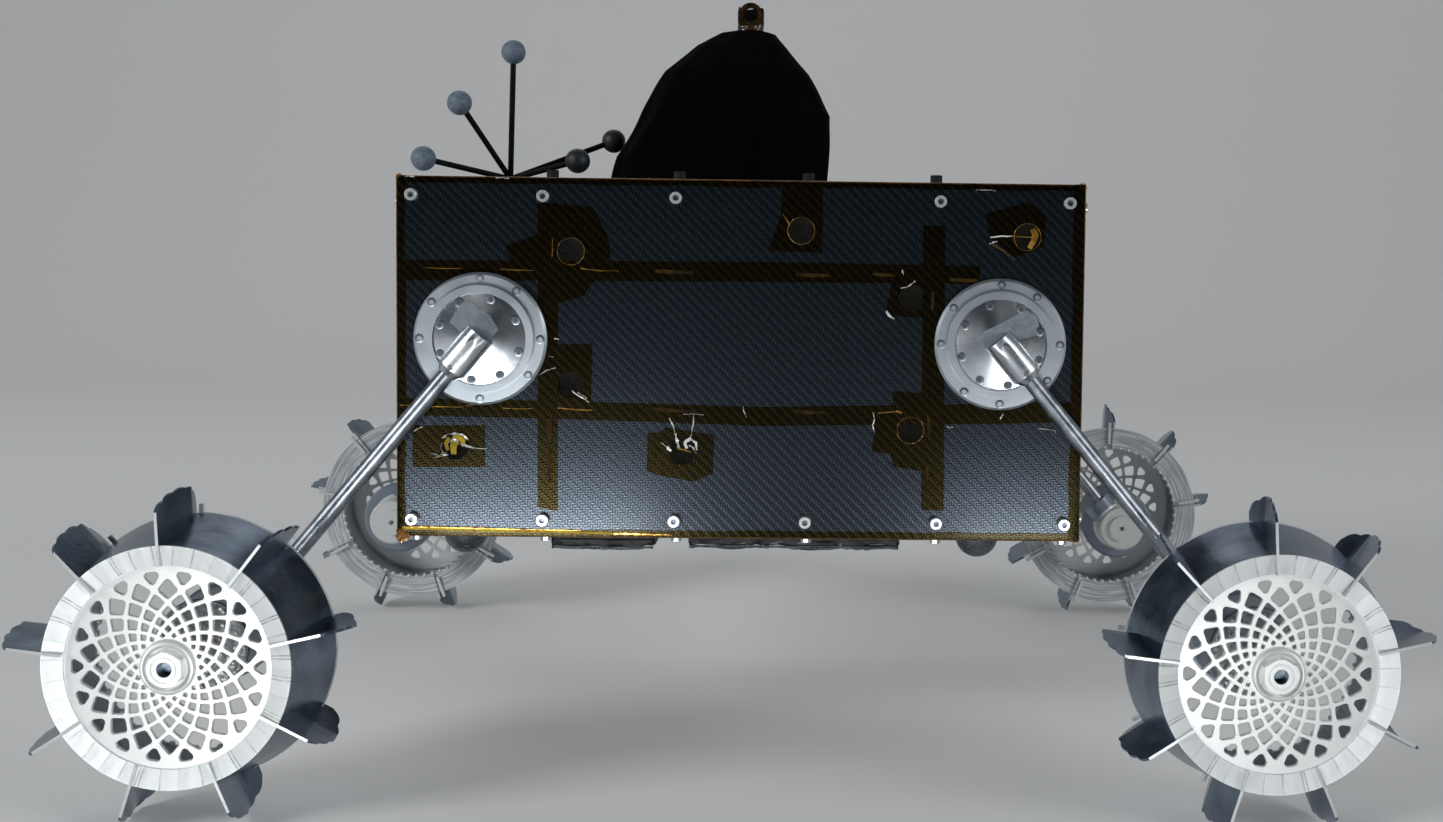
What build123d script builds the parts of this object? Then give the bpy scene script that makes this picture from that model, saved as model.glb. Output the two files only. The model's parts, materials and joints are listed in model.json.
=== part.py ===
from build123d import *
import math
import os

# Planetary rover prototype: a box body of carbon-fibre plates on four legs that swing at the shoulders,
# each leg with a driven wheel whose side is a spiral lattice and whose rim carries nine scalloped blades.
# Millimetres. +X forward, +Y to the rover's left, +Z up. Origin on the ground under the body's middle.

# Body
BODY_LENGTH = 410.0
BODY_WIDTH = 350.0
BODY_HEIGHT = 215.0
PANEL = 4.0
FRAME_BAR = 12.0
INSPECTION_HOLE = 8.2
FIT_GAP = 0.3
RUNNING_GAP = 0.05

# Shoulders, one near each corner of the side panels
SHOULDER_FROM_END = 50.0
SHOULDER_ABOVE_BELLY = 119.0
FLANGE_RADIUS = 39.5
FLANGE_PLATE = 5.0
FLANGE_BEVEL = 1.5
RING_OUTER = 32.0
RING_INNER = 27.5
RING_HEIGHT = 8.0
RECESS_FLOOR = 3.0
GEARBOX_RADIUS = 27.0
GEARBOX_DEPTH = 59.0
SHOULDER_SHAFT = 8.0
SHOULDER_SHAFT_DEPTH = 20.0
SHAFT_END_GAP = 1.0
CAP_EDGE = 7.0
CAP_APEX = 11.5
CAP_APEX_RADIUS = 8.0

# Legs: reach and drop from the shoulder's axis to the wheel's axis
LEG_REACH = 139.0
LEG_DROP = 168.0
LEG_TUBE = 5.0
LEG_WALL = 1.0
LEG_OFFSET = 18.0
SOCKET_RADIUS = 9.0
SOCKET_LENGTH = 21.5
SOCKET_TAPER = 4.5
SOCKET_LIP = 6.2

# Wheel drives at the legs' lower ends
KNUCKLE_RADIUS = 18.0
KNUCKLE_INNER = 8.0
KNUCKLE_OUTER = 30.0
END_CAP_RADIUS = 10.0
END_CAP_HEIGHT = 3.0
END_CAP_DIMPLE = 2.0
KNUCKLE_CHAMFER = 1.5
HOUSING_RADIUS = 28.0
HOUSING_LENGTH = 51.0
HOUSING_STEP = 2.0
HOUSING_STEP_AT = 14.0
HOUSING_CHAMFER = 2.0
DRIVE_SHAFT_DEPTH = 20.0
CLAMP_WIDTH = 9.0
CLAMP_LENGTH = 12.0
CLAMP_DEPTH = 14.0

# Wheels, measured along their own axis from the rim's inner edge, towards which the rim flares
WHEEL_FROM_PANEL = 79.0
WHEEL_WIDTH = 56.0
RIM_RADIUS = 65.0
RIM_FLARE = 9.5
RIM_WALL = 2.0
INNER_FLANGE = 57.5
OUTER_FLANGE = 54.3
FLANGE_DISH = 2.0
SPOKE_SEAT = 4.0
SPOKE_PLATE = 3.0
SPOKE_PLATE_RADIUS = 60.0
HUB_RADIUS = 14.4
HUB_LENGTH = 16.0
HUB_GROOVE_OUTER = 12.6
HUB_GROOVE_INNER = 10.6
HUB_GROOVE_DEPTH = 2.0
AXLE_RADIUS = 6.0
AXLE_BORE = 3.5
AXLE_BORE_DEPTH = 10.0
NUT_ACROSS_FLATS = 18.0
NUT_HEIGHT = 5.0

# Blades on the rim: folded plates with a scalloped crest from the outer edge to the inner one
BLADE_COUNT = 9
BLADE_THICKNESS = 1.5
BLADE_PROUD = 1.5
BLADE_ROOT = 0.6
BLADE_FOLD = 4.8
BLADE_FOLD_BEHIND = 39.0
BLADE_END = 14.5
SCALLOP = 1.6
# Crest of a blade: distance behind the outer edge, height above the rim's outer radius
CREST = [
    (0.0, 17.5),
    (10.0, 22.6),
    (21.5, 25.2),
    (34.0, 25.6),
    (46.0, 22.8),
    (57.0, 17.2),
]

# Spiral lattice: crossings lie on circles whose radii fall by one ratio, half a pitch apart
LATTICE_ARMS = 18
LATTICE_OUTER = 49.2
LATTICE_RATIO = 1.2
LATTICE_STRUT = 2.2
LATTICE_ROWS = 6
# Outside the lattice, one triangle between every two arms, its base outward
TRIANGLE_BASE_RADIUS = 50.6
TRIANGLE_APEX_RADIUS = 43.2
TRIANGLE_WIDTH = 9.4

# Deck pieces
MARKER_FROM_NOSE = 37.0
MARKER_FOOT_RADIUS = 14.0
MARKER_FOOT_HEIGHT = 3.0
MARKER_HUB_RADIUS = 6.0
MARKER_HUB_HEIGHT = 10.0
MARKER_ROD = 1.5
MARKER_BALL = 7.75
MARKER_ROD_IN_BALL = 5.0
# Marker balls: forward of the stand, to the left of it, above the deck
MARKER_BALLS = [
    (-2.0, 0.0, 92.0),
    (29.0, 30.0, 54.5),
    (51.0, 40.0, 16.5),
    (-67.0, -35.0, 34.0),
    (-51.0, 35.0, 16.5),
]
MAST_BEHIND_MARKER = 165.0
MAST_RADIUS = 8.0
MAST_FOOT_RADIUS = 22.0
MAST_FOOT_HEIGHT = 5.0
MAST_HEIGHT = 112.0
EYE_WIDTH = 16.0
EYE_THICKNESS = 8.0
EYE_BORE = 5.0
EYE_ABOVE_POST = 8.0
# Hood sections: height above the deck, middle forward of the post, length, width
HOOD = [
    (0.3, 21.0, 148.0, 132.0),
    (50.0, 10.0, 133.0, 118.0),
    (97.0, 2.5, 71.0, 64.0),
    (108.0, -0.5, 38.0, 36.0),
]
HOOD_CORNER_SHARE = 0.4

# Tail and belly pieces
GLAND_Y = 60.0
GLAND_ABOVE_BELLY = 148.0
GLAND_FLANGE = 16.0
GLAND_FLANGE_HEIGHT = 3.0
GLAND_RADIUS = 12.0
GLAND_LENGTH = 16.0
GLAND_BORE = 8.0
GLAND_BORE_DEPTH = 13.0
FOOT_FROM_NOSE = 30.0
FOOT_FROM_TAIL = 57.0
FOOT_FROM_SIDE = 55.0
FOOT_FLANGE = 19.0
FOOT_FLANGE_HEIGHT = 6.0
FOOT_DOME = 13.5
SLAB_FROM_NOSE = 116.0
SLAB_FROM_SIDE = 55.0
SLAB_LENGTH = 66.0
SLAB_HEIGHT = 14.0
TRAY_FROM_TAIL = 106.0
TRAY_BEHIND_SLAB = 21.0
TRAY_FROM_SIDE = 50.0
TRAY_HEIGHT = 12.0
BLOCK_FROM_END = 51.0
BLOCK_FROM_GEARBOX = 16.0
BLOCK_BELOW_DECK = 97.0

# Side panel holes, each with a twin through the middle: behind the nose and above the shoulder line
INSPECTION_HOLES = [
    (103.0, 52.5),
    (103.0, -27.0),
    (34.5, -64.5),
    (170.0, -66.5),
]
CORNERS = [
    ("front_left", 1, 1),
    ("front_right", 1, -1),
    ("rear_left", -1, 1),
    ("rear_right", -1, -1),
]

os.makedirs("parts", exist_ok=True)


def save(builder, node):
    """Label a finished piece and write its file."""
    builder.part.label = node
    export_step(builder.part, f"parts/{node}.step")


# Wheel pieces in their own frame: Z along the axle, outboard, from the rim's inner edge; Y up
with BuildPart() as blade:
    blade_inner = -BLADE_PROUD
    blade_outer = WHEEL_WIDTH + BLADE_PROUD
    crest = [(RIM_RADIUS + height, blade_outer - behind) for behind, height in CREST]
    with BuildSketch(Plane.YZ):
        with BuildLine():
            for lobe_start, lobe_end in zip(crest, crest[1:]):
                SagittaArc(lobe_start, lobe_end, SCALLOP)
            Polyline(
                crest[-1],
                (RIM_RADIUS + BLADE_END, blade_inner),
                (INNER_FLANGE, blade_inner),
                (INNER_FLANGE, FLANGE_DISH + BLADE_ROOT),
                (RIM_RADIUS + RIM_FLARE - RIM_WALL, RIM_WALL / 2),
                (RIM_RADIUS - BLADE_ROOT, WHEEL_WIDTH - FLANGE_DISH),
                (OUTER_FLANGE, WHEEL_WIDTH - FLANGE_DISH - BLADE_ROOT),
                (OUTER_FLANGE, blade_outer),
                crest[0],
            )
        make_face()
    extrude(amount=BLADE_FOLD + BLADE_THICKNESS, both=True)
    fold_z = blade_outer - BLADE_FOLD_BEHIND
    half = BLADE_THICKNESS / 2
    tip_radius = RIM_RADIUS + SCALLOP + max(height for _, height in CREST)
    with BuildSketch(Plane.XZ):
        Polygon(
            (-half, blade_inner),
            (half, blade_inner),
            (BLADE_FOLD + half, fold_z),
            (half, blade_outer),
            (-half, blade_outer),
            (BLADE_FOLD - half, fold_z),
            align=None,
        )
    extrude(amount=-tip_radius, mode=Mode.INTERSECT)

blade_turn = math.degrees(math.atan2(BLADE_FOLD, tip_radius))

with BuildPart() as rim:
    with BuildSketch(Plane.XZ):
        Polygon(
            (INNER_FLANGE, FLANGE_DISH),
            (RIM_RADIUS + RIM_FLARE, 0),
            (RIM_RADIUS, WHEEL_WIDTH),
            (OUTER_FLANGE, WHEEL_WIDTH - FLANGE_DISH),
            (OUTER_FLANGE, WHEEL_WIDTH - SPOKE_SEAT),
            (RIM_RADIUS - RIM_WALL, WHEEL_WIDTH - SPOKE_SEAT),
            (RIM_RADIUS + RIM_FLARE - RIM_WALL, RIM_WALL),
            (INNER_FLANGE, RIM_WALL + FLANGE_DISH),
            align=None,
        )
    revolve(axis=Axis.Z)
    with PolarLocations(0, BLADE_COUNT, start_angle=blade_turn):
        add(blade.part)

plate_front = WHEEL_WIDTH - SPOKE_SEAT
lattice_angle = 180 / LATTICE_ARMS


def crossing(step, turn):
    """Point where two spiral arms cross: circle number from the outside, angle in half pitches."""
    radius = LATTICE_OUTER / LATTICE_RATIO**step
    angle = math.radians(turn * lattice_angle)
    return (radius * math.cos(angle), radius * math.sin(angle))


with BuildPart() as spoke_plate:
    with BuildSketch(Plane.XY.offset(plate_front - SPOKE_PLATE)):
        Circle(SPOKE_PLATE_RADIUS)
    extrude(amount=SPOKE_PLATE)
    with BuildSketch(Plane.XY.offset(plate_front - SPOKE_PLATE)):
        with PolarLocations(0, LATTICE_ARMS):
            Polygon(
                (TRIANGLE_BASE_RADIUS, -TRIANGLE_WIDTH / 2),
                (TRIANGLE_BASE_RADIUS, TRIANGLE_WIDTH / 2),
                (TRIANGLE_APEX_RADIUS, 0),
                align=None,
            )
        for row in range(1, LATTICE_ROWS + 1):
            turn = row % 2
            with BuildSketch(mode=Mode.PRIVATE) as opening:
                Polygon(
                    crossing(row - 1, turn),
                    crossing(row, turn + 1),
                    crossing(row + 1, turn),
                    crossing(row, turn - 1),
                    align=None,
                )
                offset(amount=-LATTICE_STRUT / 2, kind=Kind.INTERSECTION, mode=Mode.REPLACE)
            with PolarLocations(0, LATTICE_ARMS):
                add(opening.sketch)
    extrude(amount=SPOKE_PLATE, mode=Mode.SUBTRACT)
    with BuildSketch(Plane.XZ):
        Polygon(
            (AXLE_RADIUS + RUNNING_GAP, WHEEL_WIDTH - HUB_LENGTH),
            (HUB_RADIUS, WHEEL_WIDTH - HUB_LENGTH),
            (HUB_RADIUS, WHEEL_WIDTH),
            (HUB_GROOVE_OUTER, WHEEL_WIDTH),
            (HUB_GROOVE_INNER, WHEEL_WIDTH - HUB_GROOVE_DEPTH),
            (AXLE_RADIUS + RUNNING_GAP, WHEEL_WIDTH - HUB_GROOVE_DEPTH),
            align=None,
        )
    revolve(axis=Axis.Z)
    with Locations((0, 0, WHEEL_WIDTH - HUB_LENGTH)):
        Cylinder(
            AXLE_RADIUS + RUNNING_GAP,
            HUB_LENGTH,
            align=(Align.CENTER, Align.CENTER, Align.MIN),
            mode=Mode.SUBTRACT,
        )

nut_seat = WHEEL_WIDTH - HUB_GROOVE_DEPTH
housing_end = KNUCKLE_OUTER + HOUSING_LENGTH
axle_start = housing_end - DRIVE_SHAFT_DEPTH + SHAFT_END_GAP - WHEEL_FROM_PANEL

with BuildPart() as axle:
    with BuildSketch(Plane.XY.offset(axle_start)):
        Circle(AXLE_RADIUS)
    extrude(amount=nut_seat + NUT_HEIGHT - axle_start)
    with BuildSketch(Plane.XY.offset(nut_seat)):
        RegularPolygon(NUT_ACROSS_FLATS / 2, 6, major_radius=False, rotation=30)
    extrude(amount=NUT_HEIGHT)
    with BuildSketch(Plane.XY.offset(nut_seat + NUT_HEIGHT)):
        Circle(AXLE_BORE)
    extrude(amount=-AXLE_BORE_DEPTH, mode=Mode.SUBTRACT)

# Leg pieces. Shoulder frames have Z outboard from the side panel's face and X along the leg.
with BuildPart() as shoulder_flange:
    with BuildSketch(Plane.XZ):
        Polygon(
            (SHOULDER_SHAFT + RUNNING_GAP, RECESS_FLOOR),
            (RING_INNER, RECESS_FLOOR),
            (RING_INNER, RING_HEIGHT),
            (RING_OUTER, RING_HEIGHT),
            (RING_OUTER, FLANGE_PLATE),
            (FLANGE_RADIUS - FLANGE_BEVEL, FLANGE_PLATE),
            (FLANGE_RADIUS, FLANGE_PLATE - FLANGE_BEVEL),
            (FLANGE_RADIUS, 0),
            (GEARBOX_RADIUS, 0),
            (GEARBOX_RADIUS, -GEARBOX_DEPTH),
            (0, -GEARBOX_DEPTH),
            (0, -SHOULDER_SHAFT_DEPTH - SHAFT_END_GAP),
            (SHOULDER_SHAFT + RUNNING_GAP, -SHOULDER_SHAFT_DEPTH - SHAFT_END_GAP),
            align=None,
        )
    revolve(axis=Axis.Z)

with BuildPart() as shoulder_cap:
    with BuildSketch(Plane.XZ):
        Polygon(
            (0, -SHOULDER_SHAFT_DEPTH),
            (SHOULDER_SHAFT, -SHOULDER_SHAFT_DEPTH),
            (SHOULDER_SHAFT, RECESS_FLOOR + FIT_GAP),
            (RING_INNER - FIT_GAP, RECESS_FLOOR + FIT_GAP),
            (RING_INNER - FIT_GAP, CAP_EDGE),
            (CAP_APEX_RADIUS, CAP_APEX),
            (0, CAP_APEX),
            align=None,
        )
    revolve(axis=Axis.Z)
    with BuildSketch(Plane.XY.offset(LEG_OFFSET)):
        with BuildLine():
            Polyline(
                (-SOCKET_RADIUS / 2, 0),
                (-SOCKET_RADIUS / 2, SOCKET_RADIUS),
                (SOCKET_LENGTH, SOCKET_RADIUS),
                (SOCKET_LENGTH + SOCKET_TAPER, SOCKET_LIP),
                (SOCKET_LENGTH + SOCKET_TAPER, 0),
                close=True,
            )
        make_face()
    revolve(axis=Axis((0, 0, LEG_OFFSET), (1, 0, 0)))
    with BuildSketch(Plane.YZ.offset(SOCKET_LENGTH + SOCKET_TAPER)):
        with Locations((0, LEG_OFFSET)):
            Circle(LEG_TUBE + RUNNING_GAP)
    extrude(amount=-SOCKET_LENGTH, mode=Mode.SUBTRACT)

leg_length = math.hypot(LEG_REACH, LEG_DROP)
tube_start = SOCKET_TAPER
tube_end = leg_length - KNUCKLE_RADIUS + SOCKET_TAPER

with BuildPart() as leg_tube:
    with BuildSketch(Plane.XY.offset(tube_start)):
        Circle(LEG_TUBE)
        Circle(LEG_TUBE - LEG_WALL, mode=Mode.SUBTRACT)
    extrude(amount=tube_end - tube_start)

# The drive's frame has Z outboard from the side panel's face and X up along the leg
with BuildPart() as drive:
    with BuildSketch(Plane.XZ):
        Polygon(
            (0, KNUCKLE_INNER),
            (END_CAP_DIMPLE, KNUCKLE_INNER),
            (END_CAP_DIMPLE, KNUCKLE_INNER - END_CAP_HEIGHT),
            (END_CAP_RADIUS, KNUCKLE_INNER - END_CAP_HEIGHT),
            (END_CAP_RADIUS, KNUCKLE_INNER),
            (KNUCKLE_RADIUS - KNUCKLE_CHAMFER, KNUCKLE_INNER),
            (KNUCKLE_RADIUS, KNUCKLE_INNER + KNUCKLE_CHAMFER),
            (KNUCKLE_RADIUS, KNUCKLE_OUTER),
            (HOUSING_RADIUS - HOUSING_CHAMFER, KNUCKLE_OUTER),
            (HOUSING_RADIUS, KNUCKLE_OUTER + HOUSING_CHAMFER),
            (HOUSING_RADIUS, KNUCKLE_OUTER + HOUSING_STEP_AT),
            (HOUSING_RADIUS - HOUSING_STEP, KNUCKLE_OUTER + HOUSING_STEP_AT),
            (HOUSING_RADIUS - HOUSING_STEP, housing_end - HOUSING_CHAMFER),
            (HOUSING_RADIUS - HOUSING_STEP - HOUSING_CHAMFER, housing_end),
            (AXLE_RADIUS + RUNNING_GAP, housing_end),
            (AXLE_RADIUS + RUNNING_GAP, housing_end - DRIVE_SHAFT_DEPTH),
            (0, housing_end - DRIVE_SHAFT_DEPTH),
            align=None,
        )
    revolve(axis=Axis.Z)
    socket_top = KNUCKLE_RADIUS + SOCKET_LENGTH / 2
    with BuildSketch(Plane.YZ):
        with Locations((0, LEG_OFFSET)):
            Circle(SOCKET_RADIUS)
    extrude(amount=socket_top)
    with Locations((socket_top, 0, LEG_OFFSET)):
        Box(CLAMP_LENGTH, CLAMP_DEPTH, CLAMP_WIDTH, align=(Align.MAX, Align.MAX, Align.CENTER))
    with BuildSketch(Plane.YZ.offset(socket_top)):
        with Locations((0, LEG_OFFSET)):
            Circle(LEG_TUBE + RUNNING_GAP)
    extrude(amount=-(socket_top - leg_length + tube_end), mode=Mode.SUBTRACT)

# Heights that follow from the wheel and the leg
axle_height = -rim.part.bounding_box().min.Y
shoulder_height = axle_height + LEG_DROP
belly = shoulder_height - SHOULDER_ABOVE_BELLY
deck = belly + BODY_HEIGHT
half_length = BODY_LENGTH / 2
half_width = BODY_WIDTH / 2
shoulder_x = half_length - SHOULDER_FROM_END

for corner, end, side in CORNERS:
    outboard = (0, side, 0)
    shoulder = (end * shoulder_x, side * half_width, shoulder_height)
    axle_x = end * (shoulder_x + LEG_REACH)
    down_leg = (end * LEG_REACH, 0, -LEG_DROP)
    up_leg = (-end * LEG_REACH, 0, LEG_DROP)
    flange_plane = Plane(shoulder, x_dir=(-side, 0, 0), z_dir=outboard)
    cap_plane = Plane(shoulder, x_dir=down_leg, z_dir=outboard)
    tube_origin = (shoulder[0], side * (half_width + LEG_OFFSET), shoulder_height)
    tube_plane = Plane(tube_origin, x_dir=outboard, z_dir=down_leg)
    drive_plane = Plane((axle_x, side * half_width, axle_height), x_dir=up_leg, z_dir=outboard)
    wheel_origin = (axle_x, side * (half_width + WHEEL_FROM_PANEL), axle_height)
    wheel_plane = Plane(wheel_origin, x_dir=(-side, 0, 0), z_dir=outboard)
    placed = [
        (f"shoulder_flange_{corner}", flange_plane, shoulder_flange),
        (f"shoulder_cap_{corner}", cap_plane, shoulder_cap),
        (f"leg_tube_{corner}", tube_plane, leg_tube),
        (f"wheel_drive_{corner}", drive_plane, drive),
        (f"wheel_rim_{corner}", wheel_plane, rim),
        (f"wheel_spokes_{corner}", wheel_plane, spoke_plate),
        (f"wheel_axle_{corner}", wheel_plane, axle),
    ]
    for node, plane, shape in placed:
        with BuildPart(plane) as piece:
            add(shape.part)
        save(piece, node)

# Body plates
for name, side in (("left", 1), ("right", -1)):
    panel_plane = Plane((0, side * half_width, shoulder_height), x_dir=(-side, 0, 0), z_dir=(0, side, 0))
    with BuildPart() as side_panel:
        with BuildSketch(panel_plane):
            with Locations((0, BODY_HEIGHT / 2 - SHOULDER_ABOVE_BELLY)):
                Rectangle(BODY_LENGTH, BODY_HEIGHT)
            with Locations((shoulder_x, 0), (-shoulder_x, 0)):
                Circle(GEARBOX_RADIUS + FIT_GAP, mode=Mode.SUBTRACT)
            holes = [(behind - half_length, above) for behind, above in INSPECTION_HOLES]
            twins = [(-x, -above) for x, above in holes]
            with Locations(*holes, *twins):
                Circle(INSPECTION_HOLE, mode=Mode.SUBTRACT)
        extrude(amount=-PANEL)
    save(side_panel, f"side_panel_{name}")

inner_width = BODY_WIDTH - 2 * PANEL
inner_length = BODY_LENGTH - 2 * PANEL
inner_height = BODY_HEIGHT - 2 * PANEL

for name, end in (("nose", 1), ("tail", -1)):
    end_plane = Plane((end * half_length, 0, belly), x_dir=(0, end, 0), z_dir=(end, 0, 0))
    with BuildPart() as end_panel:
        with BuildSketch(end_plane):
            Rectangle(inner_width, BODY_HEIGHT, align=(Align.CENTER, Align.MIN))
        extrude(amount=-PANEL)
    save(end_panel, f"{name}_panel")

with BuildPart() as deck_panel:
    with BuildSketch(Plane.XY.offset(deck)):
        Rectangle(inner_length, inner_width)
    extrude(amount=-PANEL)
save(deck_panel, "deck_panel")

with BuildPart() as belly_panel:
    with BuildSketch(Plane.XY.offset(belly)):
        Rectangle(inner_length, inner_width)
    extrude(amount=PANEL)
save(belly_panel, "belly_panel")

with BuildPart(Plane.XY.offset(belly + BODY_HEIGHT / 2)) as corner_frame:
    Box(inner_length, inner_width, inner_height)
    open_length = inner_length - 2 * FRAME_BAR
    open_width = inner_width - 2 * FRAME_BAR
    open_height = inner_height - 2 * FRAME_BAR
    Box(open_length, open_width, inner_height, mode=Mode.SUBTRACT)
    Box(inner_length, open_width, open_height, mode=Mode.SUBTRACT)
    Box(open_length, inner_width, open_height, mode=Mode.SUBTRACT)
save(corner_frame, "corner_frame")

with BuildPart(Plane.XY.offset(belly + PANEL)) as equipment_block:
    Box(
        inner_length - 2 * BLOCK_FROM_END,
        BODY_WIDTH - 2 * (GEARBOX_DEPTH + BLOCK_FROM_GEARBOX),
        inner_height - BLOCK_BELOW_DECK,
        align=(Align.CENTER, Align.CENTER, Align.MIN),
    )
save(equipment_block, "equipment_block")

# Deck pieces
marker_x = half_length - MARKER_FROM_NOSE
mast_x = marker_x - MAST_BEHIND_MARKER
marker_centre = Vector(marker_x, 0, deck + MARKER_HUB_HEIGHT / 2)
ball_centres = [Vector(marker_x + x, y, deck + z) for x, y, z in MARKER_BALLS]

with BuildPart() as marker_stand:
    with BuildSketch(Plane.XY.offset(deck)):
        with Locations((marker_x, 0)):
            Circle(MARKER_FOOT_RADIUS)
    extrude(amount=MARKER_FOOT_HEIGHT)
    with BuildSketch(Plane.XY.offset(deck)):
        with Locations((marker_x, 0)):
            Circle(MARKER_HUB_RADIUS)
    extrude(amount=MARKER_HUB_HEIGHT)
    for centre in ball_centres:
        reach = centre - marker_centre
        with BuildSketch(Plane(marker_centre, z_dir=reach)):
            Circle(MARKER_ROD)
        extrude(amount=reach.length - MARKER_BALL + MARKER_ROD_IN_BALL)
save(marker_stand, "marker_stand")

with BuildPart() as marker_balls:
    for centre in ball_centres:
        with Locations(centre):
            Sphere(MARKER_BALL)
        reach = centre - marker_centre
        with BuildSketch(Plane(marker_centre, z_dir=reach)):
            Circle(MARKER_ROD + RUNNING_GAP)
        extrude(amount=reach.length - MARKER_BALL + MARKER_ROD_IN_BALL + FIT_GAP, mode=Mode.SUBTRACT)
save(marker_balls, "marker_balls")

eye_height = MAST_HEIGHT + EYE_ABOVE_POST

with BuildPart() as mast:
    with BuildSketch(Plane.XY.offset(deck)):
        with Locations((mast_x, 0)):
            Circle(MAST_FOOT_RADIUS)
    extrude(amount=MAST_FOOT_HEIGHT)
    with BuildSketch(Plane.XY.offset(deck)):
        with Locations((mast_x, 0)):
            Circle(MAST_RADIUS)
    extrude(amount=MAST_HEIGHT)
    eye_plane = Plane((mast_x, 0, deck), x_dir=(1, 0, 0), z_dir=(0, -1, 0))
    with BuildSketch(eye_plane):
        with Locations((0, MAST_HEIGHT - FIT_GAP)):
            Rectangle(EYE_WIDTH, EYE_ABOVE_POST + FIT_GAP, align=(Align.CENTER, Align.MIN))
        with Locations((0, eye_height)):
            Circle(EYE_WIDTH / 2)
    extrude(amount=EYE_THICKNESS / 2, both=True)
    with BuildSketch(eye_plane):
        with Locations((0, eye_height)):
            Circle(EYE_BORE)
    extrude(amount=EYE_THICKNESS, both=True, mode=Mode.SUBTRACT)
save(mast, "mast")

with BuildPart() as hood:
    for height, middle, length, width in HOOD:
        with BuildSketch(Plane.XY.offset(deck + height)):
            with Locations((mast_x + middle, 0)):
                RectangleRounded(length, width, width * HOOD_CORNER_SHARE)
    loft(ruled=True)
    with BuildSketch(Plane.XY.offset(deck)):
        with Locations((mast_x, 0)):
            Circle(MAST_RADIUS + FIT_GAP)
    extrude(amount=MAST_HEIGHT + EYE_WIDTH, mode=Mode.SUBTRACT)
    with BuildSketch(Plane.XY.offset(deck)):
        with Locations((mast_x, 0)):
            Circle(MAST_FOOT_RADIUS + FIT_GAP)
    extrude(amount=MAST_FOOT_HEIGHT + FIT_GAP, mode=Mode.SUBTRACT)
save(hood, "fabric_hood")

# Tail and belly pieces
gland_plane = Plane((-half_length, GLAND_Y, belly + GLAND_ABOVE_BELLY), x_dir=(0, -1, 0), z_dir=(-1, 0, 0))
with BuildPart(gland_plane) as cable_gland:
    Cylinder(GLAND_FLANGE, GLAND_FLANGE_HEIGHT, align=(Align.CENTER, Align.CENTER, Align.MIN))
    Cylinder(GLAND_RADIUS, GLAND_LENGTH, align=(Align.CENTER, Align.CENTER, Align.MIN))
    with Locations((0, 0, GLAND_LENGTH - GLAND_BORE_DEPTH)):
        Cylinder(
            GLAND_BORE,
            GLAND_BORE_DEPTH,
            align=(Align.CENTER, Align.CENTER, Align.MIN),
            mode=Mode.SUBTRACT,
        )
save(cable_gland, "cable_gland")

with BuildPart() as foot:
    with BuildSketch(Plane.XZ):
        with BuildLine():
            Polyline((0, -FOOT_FLANGE_HEIGHT - FOOT_DOME), (0, 0), (FOOT_FLANGE, 0))
            Line((FOOT_FLANGE, 0), (FOOT_FLANGE, -FOOT_FLANGE_HEIGHT))
            Line((FOOT_FLANGE, -FOOT_FLANGE_HEIGHT), (FOOT_DOME, -FOOT_FLANGE_HEIGHT))
            CenterArc((0, -FOOT_FLANGE_HEIGHT), FOOT_DOME, 0, -90)
        make_face()
    revolve(axis=Axis.Z)

with BuildPart() as belly_feet:
    foot_rows = (half_length - FOOT_FROM_NOSE, FOOT_FROM_TAIL - half_length)
    foot_y = half_width - FOOT_FROM_SIDE
    feet = [(x, y, belly) for x in foot_rows for y in (foot_y, -foot_y)]
    with Locations(*feet):
        add(foot.part)
save(belly_feet, "belly_feet")

with BuildPart(Plane.XY.offset(belly)) as belly_slab:
    slab_width = BODY_WIDTH - 2 * SLAB_FROM_SIDE
    slab_x = half_length - SLAB_FROM_NOSE
    with Locations((slab_x, 0)):
        Box(SLAB_LENGTH, slab_width, SLAB_HEIGHT, align=(Align.CENTER, Align.CENTER, Align.MAX))
    fillet(belly_slab.edges().filter_by(Axis.Z), PANEL)
save(belly_slab, "belly_slab")

with BuildPart(Plane.XY.offset(belly)) as belly_tray:
    tray_width = BODY_WIDTH - 2 * TRAY_FROM_SIDE
    tray_front = slab_x - SLAB_LENGTH / 2 - TRAY_BEHIND_SLAB
    tray_length = tray_front + half_length - TRAY_FROM_TAIL
    with Locations((tray_front, 0)):
        Box(tray_length, tray_width, TRAY_HEIGHT, align=(Align.MAX, Align.CENTER, Align.MAX))
    fillet(belly_tray.edges().filter_by(Axis.Z), PANEL)
save(belly_tray, "belly_tray")

print("axle height", round(axle_height, 3), "shoulder height", round(shoulder_height, 3))
print("belly", round(belly, 3), "deck", round(deck, 3), "leg length", round(leg_length, 3))
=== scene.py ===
import json
import math

import bmesh
import bpy
from mathutils import Matrix, Vector, noise
from mathutils.geometry import tessellate_polygon


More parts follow.
